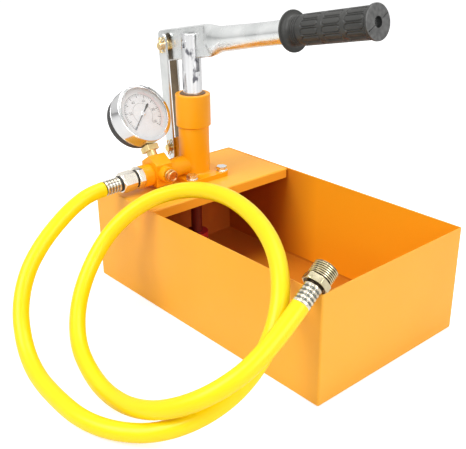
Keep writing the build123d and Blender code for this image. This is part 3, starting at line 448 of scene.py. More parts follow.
# Painted reflections: dark patches in the chrome's colour, drawn long up the rod.
chrome.feed(
    "Base Color", chrome.between(chrome.spread(painted_reflection_patches, -7.2, 5.4), ground, (0.16, 0.16, 0.18))
)
chrome.rough(lines, 0.06, 0.24)
chrome.bump(lines, 0.04, 0.4)
zinc = Finish("bright_zinc_plate", Metallic=1.0)
spangle = zinc.noise(45.0, 4.0)
zinc.colour(spangle, (0.3, (0.68, 0.70, 0.69)), (0.7, (0.88, 0.89, 0.88)))
zinc.rough(spangle, 0.18, 0.36)
zinc.bump(zinc.noise(900.0), 0.05, 0.35)
passivate = Finish("yellow_zinc_plate", Metallic=1.0)
bloom = passivate.noise(110.0, 3.0)
passivate.colour(
    bloom, (0.3, (0.78, 0.50, 0.16)), (0.5, (0.88, 0.68, 0.30)), (0.72, (0.72, 0.50, 0.33))
)
passivate.rough(bloom, 0.18, 0.32)

# The straps' faces towards the lever's tongue are painted dark brown: painted shade between the
# straps.
pump_middle, strap_faces = 3.5, 5.1
strap_zinc = Finish("strap_zinc_plate", Metallic=1.0)
off_middle = strap_zinc.node("SeparateXYZ", {}, strap_zinc.place, out=1) - pump_middle * MM
strap_spangle = strap_zinc.noise(45.0, 4.0)
untinted = strap_zinc.ramp(strap_spangle, (0.3, (0.68, 0.70, 0.69)), (0.7, (0.86, 0.87, 0.85)))
strap_painted_shade = strap_zinc.ramp(strap_spangle, (0.3, (0.14, 0.10, 0.06)), (0.7, (0.26, 0.20, 0.13)))
strap_zinc.feed("Base Color", strap_zinc.between(abs(off_middle) < strap_faces * MM, untinted, strap_painted_shade))
strap_zinc.rough(strap_spangle, 0.2, 0.36)
# Black seal rubber. The same black also fills the outlet's gaps as painted shadow.
seal_rubber = Finish("seal_rubber", Base_Color=(0.016, 0.015, 0.014, 1.0))
seal_rubber.rough(seal_rubber.noise(800.0), 0.42, 0.6)
wiper = Finish("rod_wiper", Specular_IOR_Level=0.3)
grease = wiper.noise(200.0, 3.0)
wiper.colour(grease, (0.3, (0.10, 0.045, 0.012)), (0.7, (0.20, 0.095, 0.025)))
wiper.rough(grease, 0.3, 0.5)

for node, finish, slot, broken in (
    ("plunger", chrome, "chrome", 0.3),
    ("plunger_pin", chrome, "chrome", 0.2),
    ("strap_near", strap_zinc, "bright_zinc", 0.3),
    ("strap_far", strap_zinc, "bright_zinc", 0.3),
    ("base_bolts", zinc, "bright_zinc", 0.3),
    ("base_nuts", zinc, "bright_zinc", 0.3),
    ("rear_pin", passivate, "yellow_zinc", 0.15),
    ("foot_pin", passivate, "yellow_zinc", 0.15),
    ("rear_spacers", passivate, "yellow_zinc", 0.15),
    ("rod_seal", wiper, "seal_rubber", 0.2),
    ("plunger_seal", seal_rubber, "seal_rubber", 0.1),
):
    dressed(node, finish, broken)


# Split pins: one bent wire each, in yellow zinc, with an eye above the pin and two legs
# through it. The legs are bent aside, one far and one a little.
def skin(name, grid, finish, slot, body, *nodes, caps=True, sharp=50):
    """A piece from a grid of points in mm, each row of the grid one closed ring of it.

    Neighbouring points join into four-sided faces, and flat caps close the first and last rows.
    Edges steeper than sharp degrees are left sharp. The piece stands for the nodes.
    """
    rows, count = grid.shape[:2]
    index = np.arange(rows * count).reshape(rows, count)
    after = np.roll(index, -1, 1)
    faces = np.stack((index[:-1], after[:-1], after[1:], index[1:]), -1).reshape(-1, 4).tolist()
    if caps:
        faces += [index[0, ::-1].tolist(), index[-1].tolist()]
    mesh = bpy.data.meshes.new(name)
    mesh.from_pydata((grid.reshape(-1, 3) * MM).tolist(), [], faces)
    work = bmesh.new()
    work.from_mesh(mesh)
    bmesh.ops.remove_doubles(work, verts=work.verts, dist=1e-6)
    bmesh.ops.recalc_face_normals(work, faces=work.faces)
    work.to_mesh(mesh)
    work.free()
    mesh.polygons.foreach_set("use_smooth", np.ones(len(mesh.polygons), bool))
    mesh.set_sharp_from_angle(angle=radians(sharp))
    mesh.materials.append(finish.material)
    piece = placed(name, mesh)
    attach(piece, body)
    if nodes:
        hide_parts(*nodes)
    return piece


def tube_along(path, radius):
    """Rings of fourteen points and that radius, each square to the path's direction there.

    A ring is radius * (cosine * side + sine * over); the path lies nearly in a plane of y.
    """
    run = np.gradient(path, axis=0)
    run /= np.linalg.norm(run, axis=1)[:, None]
    side = np.cross(run, (0.0, 1.0, 0.0))
    side /= np.linalg.norm(side, axis=1)[:, None]
    over = np.cross(run, side)
    turn = np.linspace(0, 2 * pi, 14, endpoint=False)
    circle = np.cos(turn)[:, None] * side[:, None] + np.sin(turn)[:, None] * over[:, None]
    return path[:, None] + radius * circle


# The lever's own axes start at the plunger pin: along it to the grip, upward and outward.
lever_rise = radians(11.15)
along = np.array((cos(lever_rise), 0.0, sin(lever_rise)))
upward = np.array((-sin(lever_rise), 0.0, cos(lever_rise)))
outward = np.array((0.0, 1.0, 0.0))
plunger_pin = np.array((-113.0, pump_middle, 244.5))
rear_pin = plunger_pin - 40.0 * along
foot_pin = np.array((-146.0, pump_middle, 128.0))
near_tail = np.array((0.0, -9.6, 0.0))
far_tail = np.array((0.0, 12.1, 0.0))

wire_radius, eye_radius, eye_height, leg_gap = 0.62, 1.9, 6.6, 0.45
eye_turn = np.linspace(radians(-75), radians(255), 25)
eye = np.stack(
    (eye_radius * np.cos(eye_turn), 0 * eye_turn, eye_height + eye_radius * np.sin(eye_turn)), 1
)
leg = np.linspace(3.9, -7.2, 14)[:, None] * (0, 0, 1)
bend = np.clip((-4.2 - leg[:, 2]) / 3.0, 0, 1) ** 1.5
far_leg = leg + np.stack((leg_gap + 2.6 * bend, 0 * bend, 0.7 * bend), 1)
near_leg = leg + np.stack((-leg_gap - 0.5 * bend, 0 * bend, 0 * bend), 1)
split_pin = np.concatenate((near_leg[::-1], eye[::-1], far_leg))
for node, hole, body in (
    ("rear_split_pin", rear_pin + near_tail, "links"),
    ("foot_split_pin", foot_pin + near_tail, "links"),
    ("plunger_split_pin", plunger_pin + far_tail, "plunger_rod"),
):
    wire = tube_along(split_pin + hole, wire_radius)
    skin(node + "_wire", wire, passivate, "yellow_zinc", body, node)


# Lever: a half-inch steel pipe, its end pressed flat into a tongue behind a V-shaped crease.
# The tongue passes through the plunger's fork and between the links.
def eased(start, length):
    """How far along the lever from 0 at start to 1, slow at both ends: s * s * (3 - 2 s)."""
    share = np.clip((where - start) / length, 0, 1)
    return share * share * (3 - 2 * share)


# Its stations are distances from the plunger pin, close together at the crease.
tongue_end, tongue_corner, tongue_tall, tongue_thick = -48.0, 4.0, 16.0, 1.9
stations = np.concatenate(
    (
        tongue_end - tongue_corner * np.cos(np.linspace(0, pi / 2, 9)),
        np.linspace(-47, 21, 20),
        np.linspace(21.5, 66, 100),
        np.linspace(68, 112, 18),
        np.linspace(120, 233, 8),
    )
)
where, angle = np.meshgrid(
    stations, np.linspace(0, 2 * pi, 128, endpoint=False), indexing="ij"
)
# Half the height is the tongue's, rounded at its end, and eases down to the pipe's.
into_corner = np.clip(tongue_end - where, 0, tongue_corner)
tall = tongue_tall - 3.9 * eased(27.0, 26.0) - 1.3 * eased(45.0, 65.0)
tall = tall - tongue_corner + np.sqrt(tongue_corner**2 - into_corner**2)
height = tall * np.sin(angle)
# Half the thickness is the tongue's with rounded edges. Past the crease, which starts later
# the higher or lower it is, that swells to an ellipse of the pipe's width.
wide = 6.7 + 4.1 * eased(27.0, 33.0)
slack = np.where(height > 0, 3.0, 7.0)
crease = 22.8 + slack * (np.abs(height) / tongue_tall) ** 1.3
swell = 1 - (1 - np.clip((where - crease) / 11.0, 0, 1)) ** 2
at_edge = np.clip((np.abs(height) - tall + tongue_thick) / tongue_thick, 0, 1)
flat = tongue_thick * np.sqrt(1 - at_edge**2)
bulge = wide * np.sqrt(np.clip(1 - (height / tall) ** 2, 0, 1))
half = flat + (np.maximum(bulge, flat * (1 - swell)) - flat) * swell
half = half * np.where(np.cos(angle) < 0, -1, 1)
lever_grid = (
    plunger_pin
    + where[..., None] * along
    + height[..., None] * upward
    + half[..., None] * outward
)
skin("lever_pipe", lever_grid, zinc, "bright_zinc", "lever", "lever_arm", sharp=35)


# Grip: black moulded rubber pushed onto the pipe, with a flared hand stop, fine ribs,
# three bands of grooved pads and a dull closed end with an eye and a mould seam.
def rounded(corners, radii):
    """The outline through corners, each rounded as far as its radius and its sides allow.

    A rounding is the curve (1 - s)^2 start + 2 s (1 - s) corner + s^2 end.
    """
    corners = np.asarray(corners, float)
    radii = np.broadcast_to(radii, len(corners))
    points = [corners[0]]
    for before, here, then, radius in zip(corners, corners[1:], corners[2:], radii[1:]):
        into, out = before - here, then - here
        reach = min(radius, 0.45 * np.linalg.norm(into), 0.45 * np.linalg.norm(out))
        start = here + into / np.linalg.norm(into) * reach
        end = here + out / np.linalg.norm(out) * reach
        share = np.linspace(0, 1, 6)[:, None]
        points += list((1 - share) ** 2 * start + 2 * share * (1 - share) * here + share**2 * end)
    return np.array(points + [corners[-1]])


def divided(outline, step):
    """The outline with its long runs cut into equal steps, none shorter than that length."""
    points = []
    for start, end in zip(outline, outline[1:]):
        count = max(1, int(np.linalg.norm(end - start) / step))
        share = np.linspace(0, 1, count, endpoint=False)[:, None]
        points += list(start + share * (end - start))
    return np.array(points + [outline[-1]])


def from_point(finish, point):
    """The place on the piece measured from a point given in mm."""
    return finish.node(
        "VectorMath", {"operation": "SUBTRACT"}, finish.place, tuple(np.asarray(point) * MM)
    )


def along_axis(finish, point, axis):
    """How far the place lies along the axis from the point: their dot product."""
    offset = from_point(finish, point)
    return finish.node("VectorMath", {"operation": "DOT_PRODUCT"}, offset, tuple(axis), out=1)


def off_axis(finish, point, axis):
    """The distance from the axis through the point: the length of the cross product."""
    offset = from_point(finish, point)
    crossed = finish.node("VectorMath", {"operation": "CROSS_PRODUCT"}, offset, tuple(axis))
    return finish.node("VectorMath", {"operation": "LENGTH"}, crossed, out=1)


grip_end, eye_hole = 238.0, 4.5
grip_rubber = Finish("grip_rubber", Specular_IOR_Level=0.45)
rubber_grain = grip_rubber.noise(1400.0)
moulded = grip_rubber.ramp(
    grip_rubber.noise(30.0), (0.3, (0.026, 0.026, 0.024)), (0.7, (0.040, 0.040, 0.037))
)
dull_end = grip_rubber.ramp(
    grip_rubber.noise(260.0), (0.35, (0.070, 0.070, 0.068)), (0.65, (0.120, 0.120, 0.117))
)
on_end = along_axis(grip_rubber, plunger_pin, along) > (grip_end - 0.7) * MM
eye_painted_shade = off_axis(grip_rubber, plunger_pin, along) < eye_hole * MM
rubber = grip_rubber.between(on_end, moulded, dull_end)
# The eye's hole is painted near black: painted shade in the hole.
grip_rubber.feed("Base Color", grip_rubber.between(eye_painted_shade, rubber, grey(0.002)))
grip_rubber.rough(rubber_grain, 0.40, 0.58)
grip_rubber.bump(rubber_grain, 0.08, 0.5)

# The outline is places along the lever and radii: hand stop, its flare, three ribs, the core
# and the end with its eye.
rib_foot, core, stop = 12.0, 13.3, 18.1
bow = np.linspace(0, 1, 12)[1:-1, None]
flare = (
    (1 - bow) ** 2 * (146.8, stop)
    + 2 * bow * (1 - bow) * (146.8, rib_foot)
    + bow**2 * (151.5, rib_foot)
)
ribs = []
for rib in range(3):
    foot = 151.9 + 2.4 * rib
    ribs += [(foot, rib_foot), (foot + 0.3, 12.9), (foot + 1.2, 12.9), (foot + 1.5, rib_foot)]
grip_outline = rounded(
    [(145.0, 10.9), (145.0, stop), (146.8, stop)]
    + list(flare)
    + ribs
    + [(159.4, rib_foot), (160.2, core), (234.0, core), (234.2, 12.4), (234.8, 12.4)]
    + [(235.0, 14.6), (grip_end, 14.6), (grip_end, eye_hole), (232.0, eye_hole), (232.0, 0.001)],
    [0, 0.8, 0.8] + [0] * 10 + [0.35] * 12 + [0.3, 0.7, 0.3, 0.2, 0.2, 0.9, 0.9, 0.4, 0, 0],
)
grip_outline = divided(grip_outline, 0.55)
grip_place, grip_radius = grip_outline[:, :1], grip_outline[:, 1:]
grip_turn = np.linspace(0, 2 * pi, 256, endpoint=False)
# A groove 0.75 mm deep runs round each of the twelve pads of a band, 2.6 mm off its middle
# line: beside is the distance from that line around the core, past_band the distance past
# its ends. The groove's side is s * s * (3 - 2 s).
pad_turn, band_length, groove_depth, seam_depth = 2 * pi / 12, 24.0, 0.75, 0.9
beside = np.abs((grip_turn - radians(25.5) + pad_turn / 2) % pad_turn - pad_turn / 2)[None] * core
past_band = np.abs((grip_place - 199.5 + band_length / 2) % band_length - band_length / 2) - 6.9
from_middle = np.hypot(beside, np.clip(past_band, 0, None))
sink = np.clip(1 - (np.abs(from_middle - 2.6) - 0.15) / 0.55, 0, 1)
on_core = (grip_place > 161.0) & (grip_place < 234.0) & (grip_radius > core - 0.1)
pressed = grip_radius - groove_depth * sink * sink * (3 - 2 * sink) * on_core
# The mould seam is a straight groove across the end face.
on_seam = np.abs((grip_turn - radians(64)) % pi - pi / 2) > pi / 2 - 0.03
on_face = (grip_radius < 14.0) & (grip_radius > 4.4) & (grip_place > 237.5)
sunk_place = grip_place - seam_depth * (on_seam[None] & on_face)
grip_grid = (
    plunger_pin
    + sunk_place[..., None] * along
    + (pressed * np.cos(grip_turn))[..., None] * upward
    + (pressed * np.sin(grip_turn))[..., None] * outward
)
skin("grip_sleeve", grip_grid, grip_rubber, "grip_rubber", "lever", "grip", caps=False)


# Fittings along the outlet: the tee's painted boss, a yellow adapter, a bright coupling nut
# and the ferrule crimped on the hose. At the far end the hose has the same ferrule and a
# hexagon fitting with a pipe thread.
def spun(profile, origin, axis, flats=0.0, count=96, crimps=0, first=0.0, thread=0.0):
    """Rings of a turned piece from a profile of (place along the axis, radius) in mm.

    A point is origin + place * axis + radius * (cosine * side + sine * over). flats cuts the
    rings to a hexagon of that size, so its bevelled ends stay round; crimps presses that many
    flutes into the side, and thread winds a ridge of that pitch around it. Both are as deep
    as the profile's third value.
    """
    profile = np.asarray(profile, float)
    axis = np.asarray(axis, float) / np.linalg.norm(axis)
    side = np.cross(axis, (0.0, 1.0, 0.0) if abs(axis[1]) < 0.9 else (0.0, 0.0, 1.0))
    side /= np.linalg.norm(side)
    over = np.cross(axis, side)
    turn = np.linspace(0, 2 * pi, count, endpoint=False)
    place = np.repeat(profile[:, :1], count, 1)
    radius = np.repeat(profile[:, 1:2], count, 1)
    if flats:
        hexagon = flats / 2 / np.cos((turn - first + pi / 6) % (pi / 3) - pi / 6)
        radius = np.minimum(radius, hexagon[None])
    if crimps:
        radius = radius - profile[:, 2:] * (0.5 + 0.5 * np.cos(turn * crimps))[None] ** 2
    if thread:
        wave = (place / thread - turn[None] / (2 * pi)) % 1
        ridge = 1 - np.abs(2 * wave - 1)
        flank = np.clip(ridge * 2.2 - 0.2, 0, 1)
        radius = radius - profile[:, 2:] * (1 - flank)
    return (
        np.asarray(origin, float)
        + place[..., None] * axis
        + (radius * np.cos(turn))[..., None] * side
        + (radius * np.sin(turn))[..., None] * over
    )


def crimped_steel(
    name, origin, axis, untinted, hollow_colour, dull=(0.58, 0.52, 0.40), light=(0.84, 0.78, 0.65)
):
    """Warm zinc-plated steel from dull to light, and the hollow colour wherever it lies nearer
    than the given radius in mm to the axis through origin."""
    plate = Finish(name, Metallic=1.0)
    axis = np.asarray(axis, float) / np.linalg.norm(axis)
    wear = plate.noise(120.0, 3.0)
    bright = plate.ramp(wear, (0.3, dull), (0.7, light))
    sunk = (untinted * MM - off_axis(plate, origin, axis)) / (0.35 * MM)
    plate.feed("Base Color", plate.between(sunk, bright, hollow_colour))
    plate.rough(wear, 0.14, 0.34)
    return plate


fitting_plate = Finish("fitting_plate", Metallic=1.0)
fitting_bloom = fitting_plate.noise(110.0, 3.0)
fitting_plate.colour(
    fitting_bloom, (0.3, (0.92, 0.80, 0.68)), (0.5, (0.96, 0.91, 0.78)), (0.7, (0.88, 0.79, 0.72))
)
fitting_plate.rough(fitting_bloom, 0.12, 0.26)

# Places along the outlet are measured from the pump's middle towards the hose.
outlet = np.array((-113.0, pump_middle, 118.5))
to_hose = np.array((0.0, -1.0, 0.0))
boss = rounded([(59.2, 6.0), (59.2, 11.5), (70.4, 11.5), (70.4, 6.0)], [0, 1.2, 1.0, 0])
boss_rings = spun(boss, outlet, to_hose)
skin("outlet_boss", boss_rings, casting_coat, "casting_paint", "pump", "valve_tee")
adapter = rounded(
    [(62.0, 6.4), (70.3, 6.4), (70.3, 10.5), (71.5, 12.0), (76.4, 12.0), (77.5, 10.0), (77.5, 6.4)]
    + [(79.9, 6.4), (79.9, 2.5)],
    0.2,
)
adapter_rings = spun(adapter, outlet, to_hose, 20.6, first=radians(30))
skin("outlet_adapter", adapter_rings, fitting_plate, "yellow_zinc", "pump", "hose_adapter")
# The nut's cone seat lets the hose end hang down a little: everything after it is turned
# about the seat by the sag.
sag, seat = radians(2.5), 78.4
sagging = np.array((0.0, -cos(sag), -sin(sag)))
sag_start = outlet + seat * (to_hose - sagging)
nut = rounded(
    [(79.4, 6.6), (79.4, 9.2), (80.4, 10.9), (93.4, 10.9), (94.6, 9.3), (95.5, 9.3), (95.5, 5.5)],
    0.3,
)
nut_rings = spun(nut, sag_start, sagging, 18.6, first=radians(30))
skin("hose_coupling_nut", nut_rings, fitting_plate, "bright_zinc", "pump", "coupling_nut")
# Painted shadow: black rings fill the gaps between the adapter and the nut and between the nut and
# the ferrule, where shade falls.
for name, start, length, radius, node in (
    ("union_gap_painted_shadow", 77.3, 2.4, 9.0, "hose_adapter"),
    ("hose_gap_painted_shadow", 95.3, 1.9, 8.0, "hose_nipple"),
):
    band = [(start, 0.001), (start, radius), (start + length, radius), (start + length, 0.001)]
    band_rings = spun(rounded(band, [0, 0.8, 0.8, 0]), sag_start, sagging)
    skin(name, band_rings, seal_rubber, "seal_rubber", "pump", node, caps=False)


def ferrule(start, length, radius):
    """A sleeve outline with four crimped grooves and a rolled mouth; its third value is the
    depth of the flutes, none at the mouths."""
    corners = [(start, 5.0), (start, radius - 0.5), (start + 0.9, radius)]
    for groove in range(1, 5):
        middle = start + groove * length / 5
        corners += [
            (middle - 1.1, radius),
            (middle - 0.6, radius - 0.7),
            (middle + 0.6, radius - 0.7),
            (middle + 1.1, radius),
        ]
    end = start + length
    corners += [(end - 0.7, radius), (end, radius - 0.4), (end, 5.0)]
    outline = divided(rounded(corners, 0.3), 0.6)
    inward = np.clip(np.minimum(outline[:, 0] - start, end - outline[:, 0]) - 1.0, 0, 1)
    return np.c_[outline, 0.5 * inward * (outline[:, 1] > 6)]


pump_steel = crimped_steel("pump_ferrule_steel", sag_start, sagging, 7.05, (0.30, 0.28, 0.25))
pump_sleeve = spun(ferrule(96.9, 16.6, 7.45), sag_start, sagging, crimps=8)
skin("pump_ferrule", pump_sleeve, pump_steel, "ferrule_steel", "pump", "ferrule_pump")

# Places along the far end are measured from the hose's last point.
end_place = np.array(hose_points[-1])
end_way = end_place - hose_points[-2]
end_steel = crimped_steel("end_ferrule_steel", end_place, end_way, 7.4, (0.20, 0.21, 0.18))
end_sleeve = spun(ferrule(0.0, 18.5, 7.8), end_place, end_way, crimps=8)
end_ferrule = skin(
    "end_ferrule", end_sleeve, end_steel, "ferrule_steel", "pump", "ferrule_end"
)
thread_steel = crimped_steel(
    "end_thread_steel",
    end_place,
    end_way,
    10.0,
    hollow_colour=(0.055, 0.040, 0.025),
    dull=(0.50, 0.44, 0.27),
    light=(0.80, 0.72, 0.50),
)
thread_foot, thread_end, thread_pitch, thread_depth = 26.0, 38.0, 1.814, 1.15
hexagon = rounded(
    [(17.0, 4.6), (17.0, 7.2), (19.5, 7.2), (19.5, 10.7), (20.3, 11.7), (24.6, 11.7)]
    + [(25.3, 10.9), (25.3, 9.3), (thread_foot, 9.3)],
    0.25,
)
bore = rounded([(thread_end, 9.0), (thread_end, 6.8), (37.0, 4.5), (17.5, 4.5), (17.0, 4.6)], 0.2)
crests = [(thread_foot, 9.3), (26.7, 10.45), (37.2, 10.48), (thread_end, 9.4)]
crests = divided(np.array(crests), 0.15)
fade = np.clip(np.minimum(crests[:, 0] - thread_foot, thread_end - crests[:, 0]) / 0.8, 0, 1)
threaded = np.c_[crests, thread_depth * fade]
end_rings = np.concatenate(
    (
        spun(hexagon, end_place, end_way, 20.5, 144),
        spun(threaded, end_place, end_way, count=144, thread=thread_pitch),
        spun(bore, end_place, end_way, count=144),
    )
)
end_piece = skin(
    "end_fitting_thread",
    end_rings,
    thread_steel,
    "ferrule_steel",
    "pump",
    "end_fitting",
    caps=False,
    sharp=40,
)


# Gauge: a 62 mm pressed steel case in black enamel with a knurled band, under a polished
# bezel ring. It leans back on a brass stem that screws into the tee's sloped top.
brass = Finish("machined_brass", Metallic=1.0)
tarnish = brass.noise(90.0, 3.0)
brass.colour(tarnish, (0.3, (0.66, 0.46, 0.16)), (0.7, (0.86, 0.68, 0.34)))
brass.rough(tarnish, 0.20, 0.38)
brass.bump(brass.noise(500.0), 0.1, 0.4)
case_black = Finish("case_enamel", Coat_Weight=0.2, Coat_Roughness=0.2)
enamel = case_black.noise(300.0)
case_black.colour(enamel, (0.3, grey(0.018)), (0.7, (0.035, 0.034, 0.033)))
case_black.rough(enamel, 0.35, 0.5)
polish = Finish("polished_bezel", Metallic=1.0)
wipe = polish.noise(25.0, 3.0)
polish.colour(wipe, (0.3, grey(0.74)), (0.7, grey(0.82)))
polish.rough(wipe, 0.07, 0.16)

lean, swivel, stem_length = radians(33.0), radians(3.5), 43.0
dial_up = np.array((-sin(lean), 0.0, cos(lean)))
dial_out = np.array((cos(lean) * cos(swivel), sin(swivel), sin(lean) * cos(swivel)))
dial_right = np.cross(dial_up, dial_out)
gauge_place = np.array((-119.35, -45.9, 134.18)) + stem_length * dial_up

case_outline = rounded(
    [(-13.0, 0.001), (-13.0, 29.5), (-3.0, 29.5), (-2.5, 29.3), (12.0, 29.3), (12.0, 28.6)]
    + [(-12.0, 28.6), (-12.0, 0.001)],
    [0, 2.5, 0.2, 0.2, 0.1, 0.1, 1.5, 0],
)
case_outline = divided(case_outline, 1.2)
# The knurled band runs from 10.4 to 3.3 mm behind the dial's middle, 140 flutes 0.35 mm deep.
in_band = np.clip(np.minimum(case_outline[:, 0] + 10.4, -3.3 - case_outline[:, 0]) / 0.4, 0, 1)
knurled = np.c_[case_outline, 0.35 * in_band * (case_outline[:, 1] > 29.0)]
skin(
    "gauge_case_shell",
    spun(knurled, gauge_place, dial_out, count=840, crimps=140),
    case_black,
    "case_black",
    "pump",
    "gauge_case",
    caps=False,
    sharp=60,
)
bezel_outline = rounded(
    [(-2.6, 29.55), (-2.6, 31.0), (-1.3, 31.0), (-1.0, 30.75), (-0.7, 31.0), (15.0, 31.0)]
    + [(15.0, 27.1), (14.03, 27.1), (14.03, 29.55)],
    [0, 0.5, 0.3, 0.2, 0.3, 1.0, 0.35, 0.1, 0],
)
bezel_outline = np.concatenate((bezel_outline, bezel_outline[:1]))
skin(
    "gauge_bezel_ring",
    spun(bezel_outline, gauge_place, dial_out, count=192),
    polish,
    "chrome",
    "pump",
    "gauge_bezel",
    caps=False,
    sharp=60,
)
for node in ("bourdon_tube", "gauge_movement"):
    dressed(node, brass, 0.5)
# The stem's neck is longer than its solid's: the foot of the wrench square, 3.4 mm up the
# stem, is moved up.
stem = dressed("gauge_stem", brass, 0.5)
stem_points = np.empty(len(stem.data.vertices) * 3)
stem.data.vertices.foreach_get("co", stem_points)
stem_points = stem_points.reshape(-1, 3)
up_stem = (stem_points / MM - gauge_place) @ dial_up + stem_length
stem_points[np.abs(up_stem - 3.4) < 0.8] += 2.4 * MM * dial_up
stem.data.vertices.foreach_set("co", stem_points.ravel())


# Dial and window: a white printed disc with a black scale, and an outer red scale on its
# right side, behind a flat glass with a white ring around it. The numbers are plain and
# stand a hair above the print.
dial_print = Finish("dial_print", Roughness=0.5)
to_right = along_axis(dial_print, gauge_place, dial_right)
to_top = along_axis(dial_print, gauge_place, dial_up)
distance = (to_right * to_right + to_top * to_top) ** 0.5
bearing = to_right.worked("ARCTAN2", to_top)
on_scale = abs(bearing) < radians(136.5)


def ticks(step, inner, outer, width):
    """1 on strokes every step degrees of the scale, from the inner to the outer radius in mm."""
    share = bearing / radians(step) + 0.5
    gap = abs(share.worked("FRACT") - 0.5) * radians(step) * distance
    return (gap < width * MM / 2) * (distance > inner * MM) * (distance < outer * MM) * on_scale


def arc(middle, width):
    """1 on a ring of that radius and width, in mm, along the scale."""
    outer = distance < (middle + width / 2) * MM
    return (distance > (middle - width / 2) * MM) * outer * on_scale


def either(*marks):
    """1 wherever one of the marks is: the largest of them."""
    joined = marks[0]
    for mark in marks[1:]:
        joined = joined.worked("MAXIMUM", mark)
    return joined


number_step = 27.0
black_scale = either(
    ticks(number_step, 17.6, 21.4, 0.7),
    ticks(number_step / 5, 19.3, 21.4, 0.36),
    arc(21.5, 0.3),
    arc(11.6, 0.25),
)
red_scale = either(
    ticks(number_step, 22.3, 25.4, 0.5),
    ticks(number_step / 10, 22.3, 24.2, 0.25),
    arc(22.3, 0.25),
)
on_right = bearing > radians(10.0)
paper = dial_print.ramp(
    dial_print.noise(60.0), (0.3, (0.66, 0.66, 0.665)), (0.7, (0.71, 0.71, 0.715))
)
inked = dial_print.between(red_scale * on_right, paper, (0.66, 0.38, 0.38))
dial_print.feed("Base Color", dial_print.between(black_scale, inked, grey(0.06)))
dressed("gauge_dial", dial_print, 0)

number_ink = Finish("number_ink", Roughness=0.5)
number_ink.colour(number_ink.noise(400.0), (0.3, grey(0.05)), (0.7, grey(0.10)))
number_size, number_radius, number_height = 4.3, 14.6, 10.66
numbers = bmesh.new()
for index, value in enumerate(range(0, 120, 20)):
    figure = bpy.data.curves.new("figure", "FONT")
    figure.body = str(value)
    figure.size = number_size * MM
    figure.align_x = "CENTER"
    figure.align_y = "CENTER"
    figure.resolution_u = 2
    holder = bpy.data.objects.new("figure", figure)
    flat_figure = bpy.data.meshes.new_from_object(holder)
    bpy.data.objects.remove(holder)
    print_points = np.empty(len(flat_figure.vertices) * 3)
    flat_figure.vertices.foreach_get("co", print_points)
    print_points = print_points.reshape(-1, 3) / MM
    number_bearing = radians(-135 + 2 * number_step * index)
    right_of = print_points[:, :1] + number_radius * sin(number_bearing)
    top_of = print_points[:, 1:2] + number_radius * cos(number_bearing)
    print_points = (
        gauge_place + right_of * dial_right + top_of * dial_up + number_height * dial_out
    )
    flat_figure.vertices.foreach_set("co", (print_points * MM).ravel())
    numbers.from_mesh(flat_figure)
number_mesh = bpy.data.meshes.new("dial_numbers")
numbers.to_mesh(number_mesh)
numbers.free()
number_mesh.materials.append(number_ink.material)
number_piece = placed("dial_numbers", number_mesh)
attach(number_piece, "pump")

dial_edge = Finish("dial_spacer", Roughness=0.4)
dial_edge.colour(dial_edge.noise(90.0), (0.3, (0.72, 0.72, 0.71)), (0.7, (0.78, 0.78, 0.77)))
spacer = rounded(
    [(10.62, 28.55), (11.95, 28.55), (11.95, 27.8), (10.62, 27.8), (10.62, 28.55)],
    [0, 0.1, 0.2, 0.1, 0],
)
spacer_rings = spun(spacer, gauge_place, dial_out, count=128)
skin("dial_spacer_ring", spacer_rings, dial_edge, "dial_white", "pump", caps=False)
glass = Finish("window_glass", Base_Color=(0.95, 0.97, 0.98, 1.0), Alpha=0.07)
glass.rough(glass.noise(15.0), 0.03, 0.07)
dressed("gauge_window", glass, 0.2)


# Pointer: a thin tapered hand with a broad dark tail, pressed with its bright cap onto the
# movement's spindle.
hand_paint = Finish("hand_paint", Roughness=0.4)
hand_paint.colour(hand_paint.noise(200.0), (0.3, grey(0.004)), (0.7, grey(0.012)))
needle = radians(222.0)
needle_way = dial_right * cos(needle) + dial_up * sin(needle)
needle_side = np.cross(dial_out, needle_way)
# Rings of six points along the hand: half_width to each side and half its 0.44 mm thickness.
needle_run = np.array([-14.0, -13.7, -13.0, -9.5, -7.0, -3.2, 0.0, 3.0, 12.0, 21.6, 22.0])
half_width = np.array([0.35, 0.9, 1.25, 1.35, 0.75, 0.65, 0.65, 0.6, 0.4, 0.2, 0.06])
aside = np.array([-1, -0.86, 0.86, 1, 0.86, -0.86]) * half_width[:, None]
raised = 11.12 + 0.22 * np.array([0, 1, 1, 0, -1, -1])
hand_grid = (
    gauge_place
    + needle_run[:, None, None] * needle_way
    + aside[..., None] * needle_side
    + np.broadcast_to(raised, aside.shape)[..., None] * dial_out
)
skin("pointer_hand", hand_grid, hand_paint, "case_black", "pointer", "gauge_pointer")
cap_outline = rounded(
    [(-2.0, 0.001), (-2.0, 1.2), (10.9, 1.2), (10.9, 2.5), (11.5, 2.5), (11.75, 1.6)]
    + [(11.8, 0.001)],
    [0, 0.1, 0.1, 0.1, 0.25, 0.3, 0],
)
cap_rings = spun(cap_outline, gauge_place, dial_out, count=48)
skin("pointer_cap", cap_rings, polish, "case_black", "pointer", "gauge_pointer", caps=False)


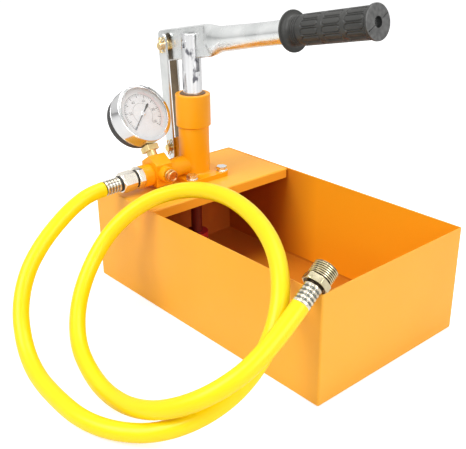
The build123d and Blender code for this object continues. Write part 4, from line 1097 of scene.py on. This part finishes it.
# Release screw: a coppered steel screw with a hexagon head, turned into the tee's side boss.
# A brass ring under its head seals it.
copper = Finish("coppered_steel", Metallic=1.0)
patina = copper.noise(160.0, 3.0)
copper.colour(patina, (0.3, (0.52, 0.26, 0.09)), (0.7, (0.80, 0.50, 0.24)))
copper.rough(patina, 0.2, 0.38)
copper.bump(copper.noise(600.0), 0.1, 0.4)
release_place, release_way = np.array((-100.3, -45.9, 121.0)), (1, 0, 0)
head = rounded(
    [(-4.6, 0.001), (-2.6, 4.0), (10.5, 4.0), (10.5, 5.6), (14.3, 6.3), (15.1, 5.2), (15.1, 3.9)]
    + [(14.7, 3.4), (14.7, 0.001)],
    [0, 0.3, 0.1, 0.1, 0.3, 0.2, 0.3, 0.2, 0],
)
seal = rounded([(8.7, 3.9), (8.7, 6.4), (10.5, 6.4), (10.5, 3.9), (8.7, 3.9)], [0, 0.4, 0.5, 0, 0])
for name, rings, finish in (
    (
        "release_screw_head",
        spun(head, release_place, release_way, 11.0, first=radians(12)),
        copper,
    ),
    ("release_seal_ring", spun(seal, release_place, release_way), brass),
):
    skin(name, rings, finish, "bright_zinc", "release", "release_screw", caps=False)


# Suction side: a moulded red nipple under the deck, a length of pipe painted a near-black red
# as painted shade under the deck, and a slotted strainer on its end near the tank's floor.
suction_red = Finish("moulded_red", Specular_IOR_Level=0.45)
suction_red.colour(
    suction_red.noise(35.0), (0.3, (0.30, 0.012, 0.016)), (0.7, (0.38, 0.018, 0.022))
)
suction_red.rough(suction_red.noise(700.0), 0.3, 0.45)
pipe_painted_shade_red = Finish("suction_pipe_painted_shade_red", Specular_IOR_Level=0.4)
pipe_painted_shade_red.colour(pipe_painted_shade_red.noise(60.0), (0.3, (0.09, 0.008, 0.006)), (0.7, (0.13, 0.012, 0.008)))
pipe_painted_shade_red.rough(pipe_painted_shade_red.noise(500.0), 0.35, 0.5)
dressed("suction_pipe", pipe_painted_shade_red, 0.3)
for node in ("suction_nipple", "suction_strainer"):
    dressed(node, suction_red, 0.3)
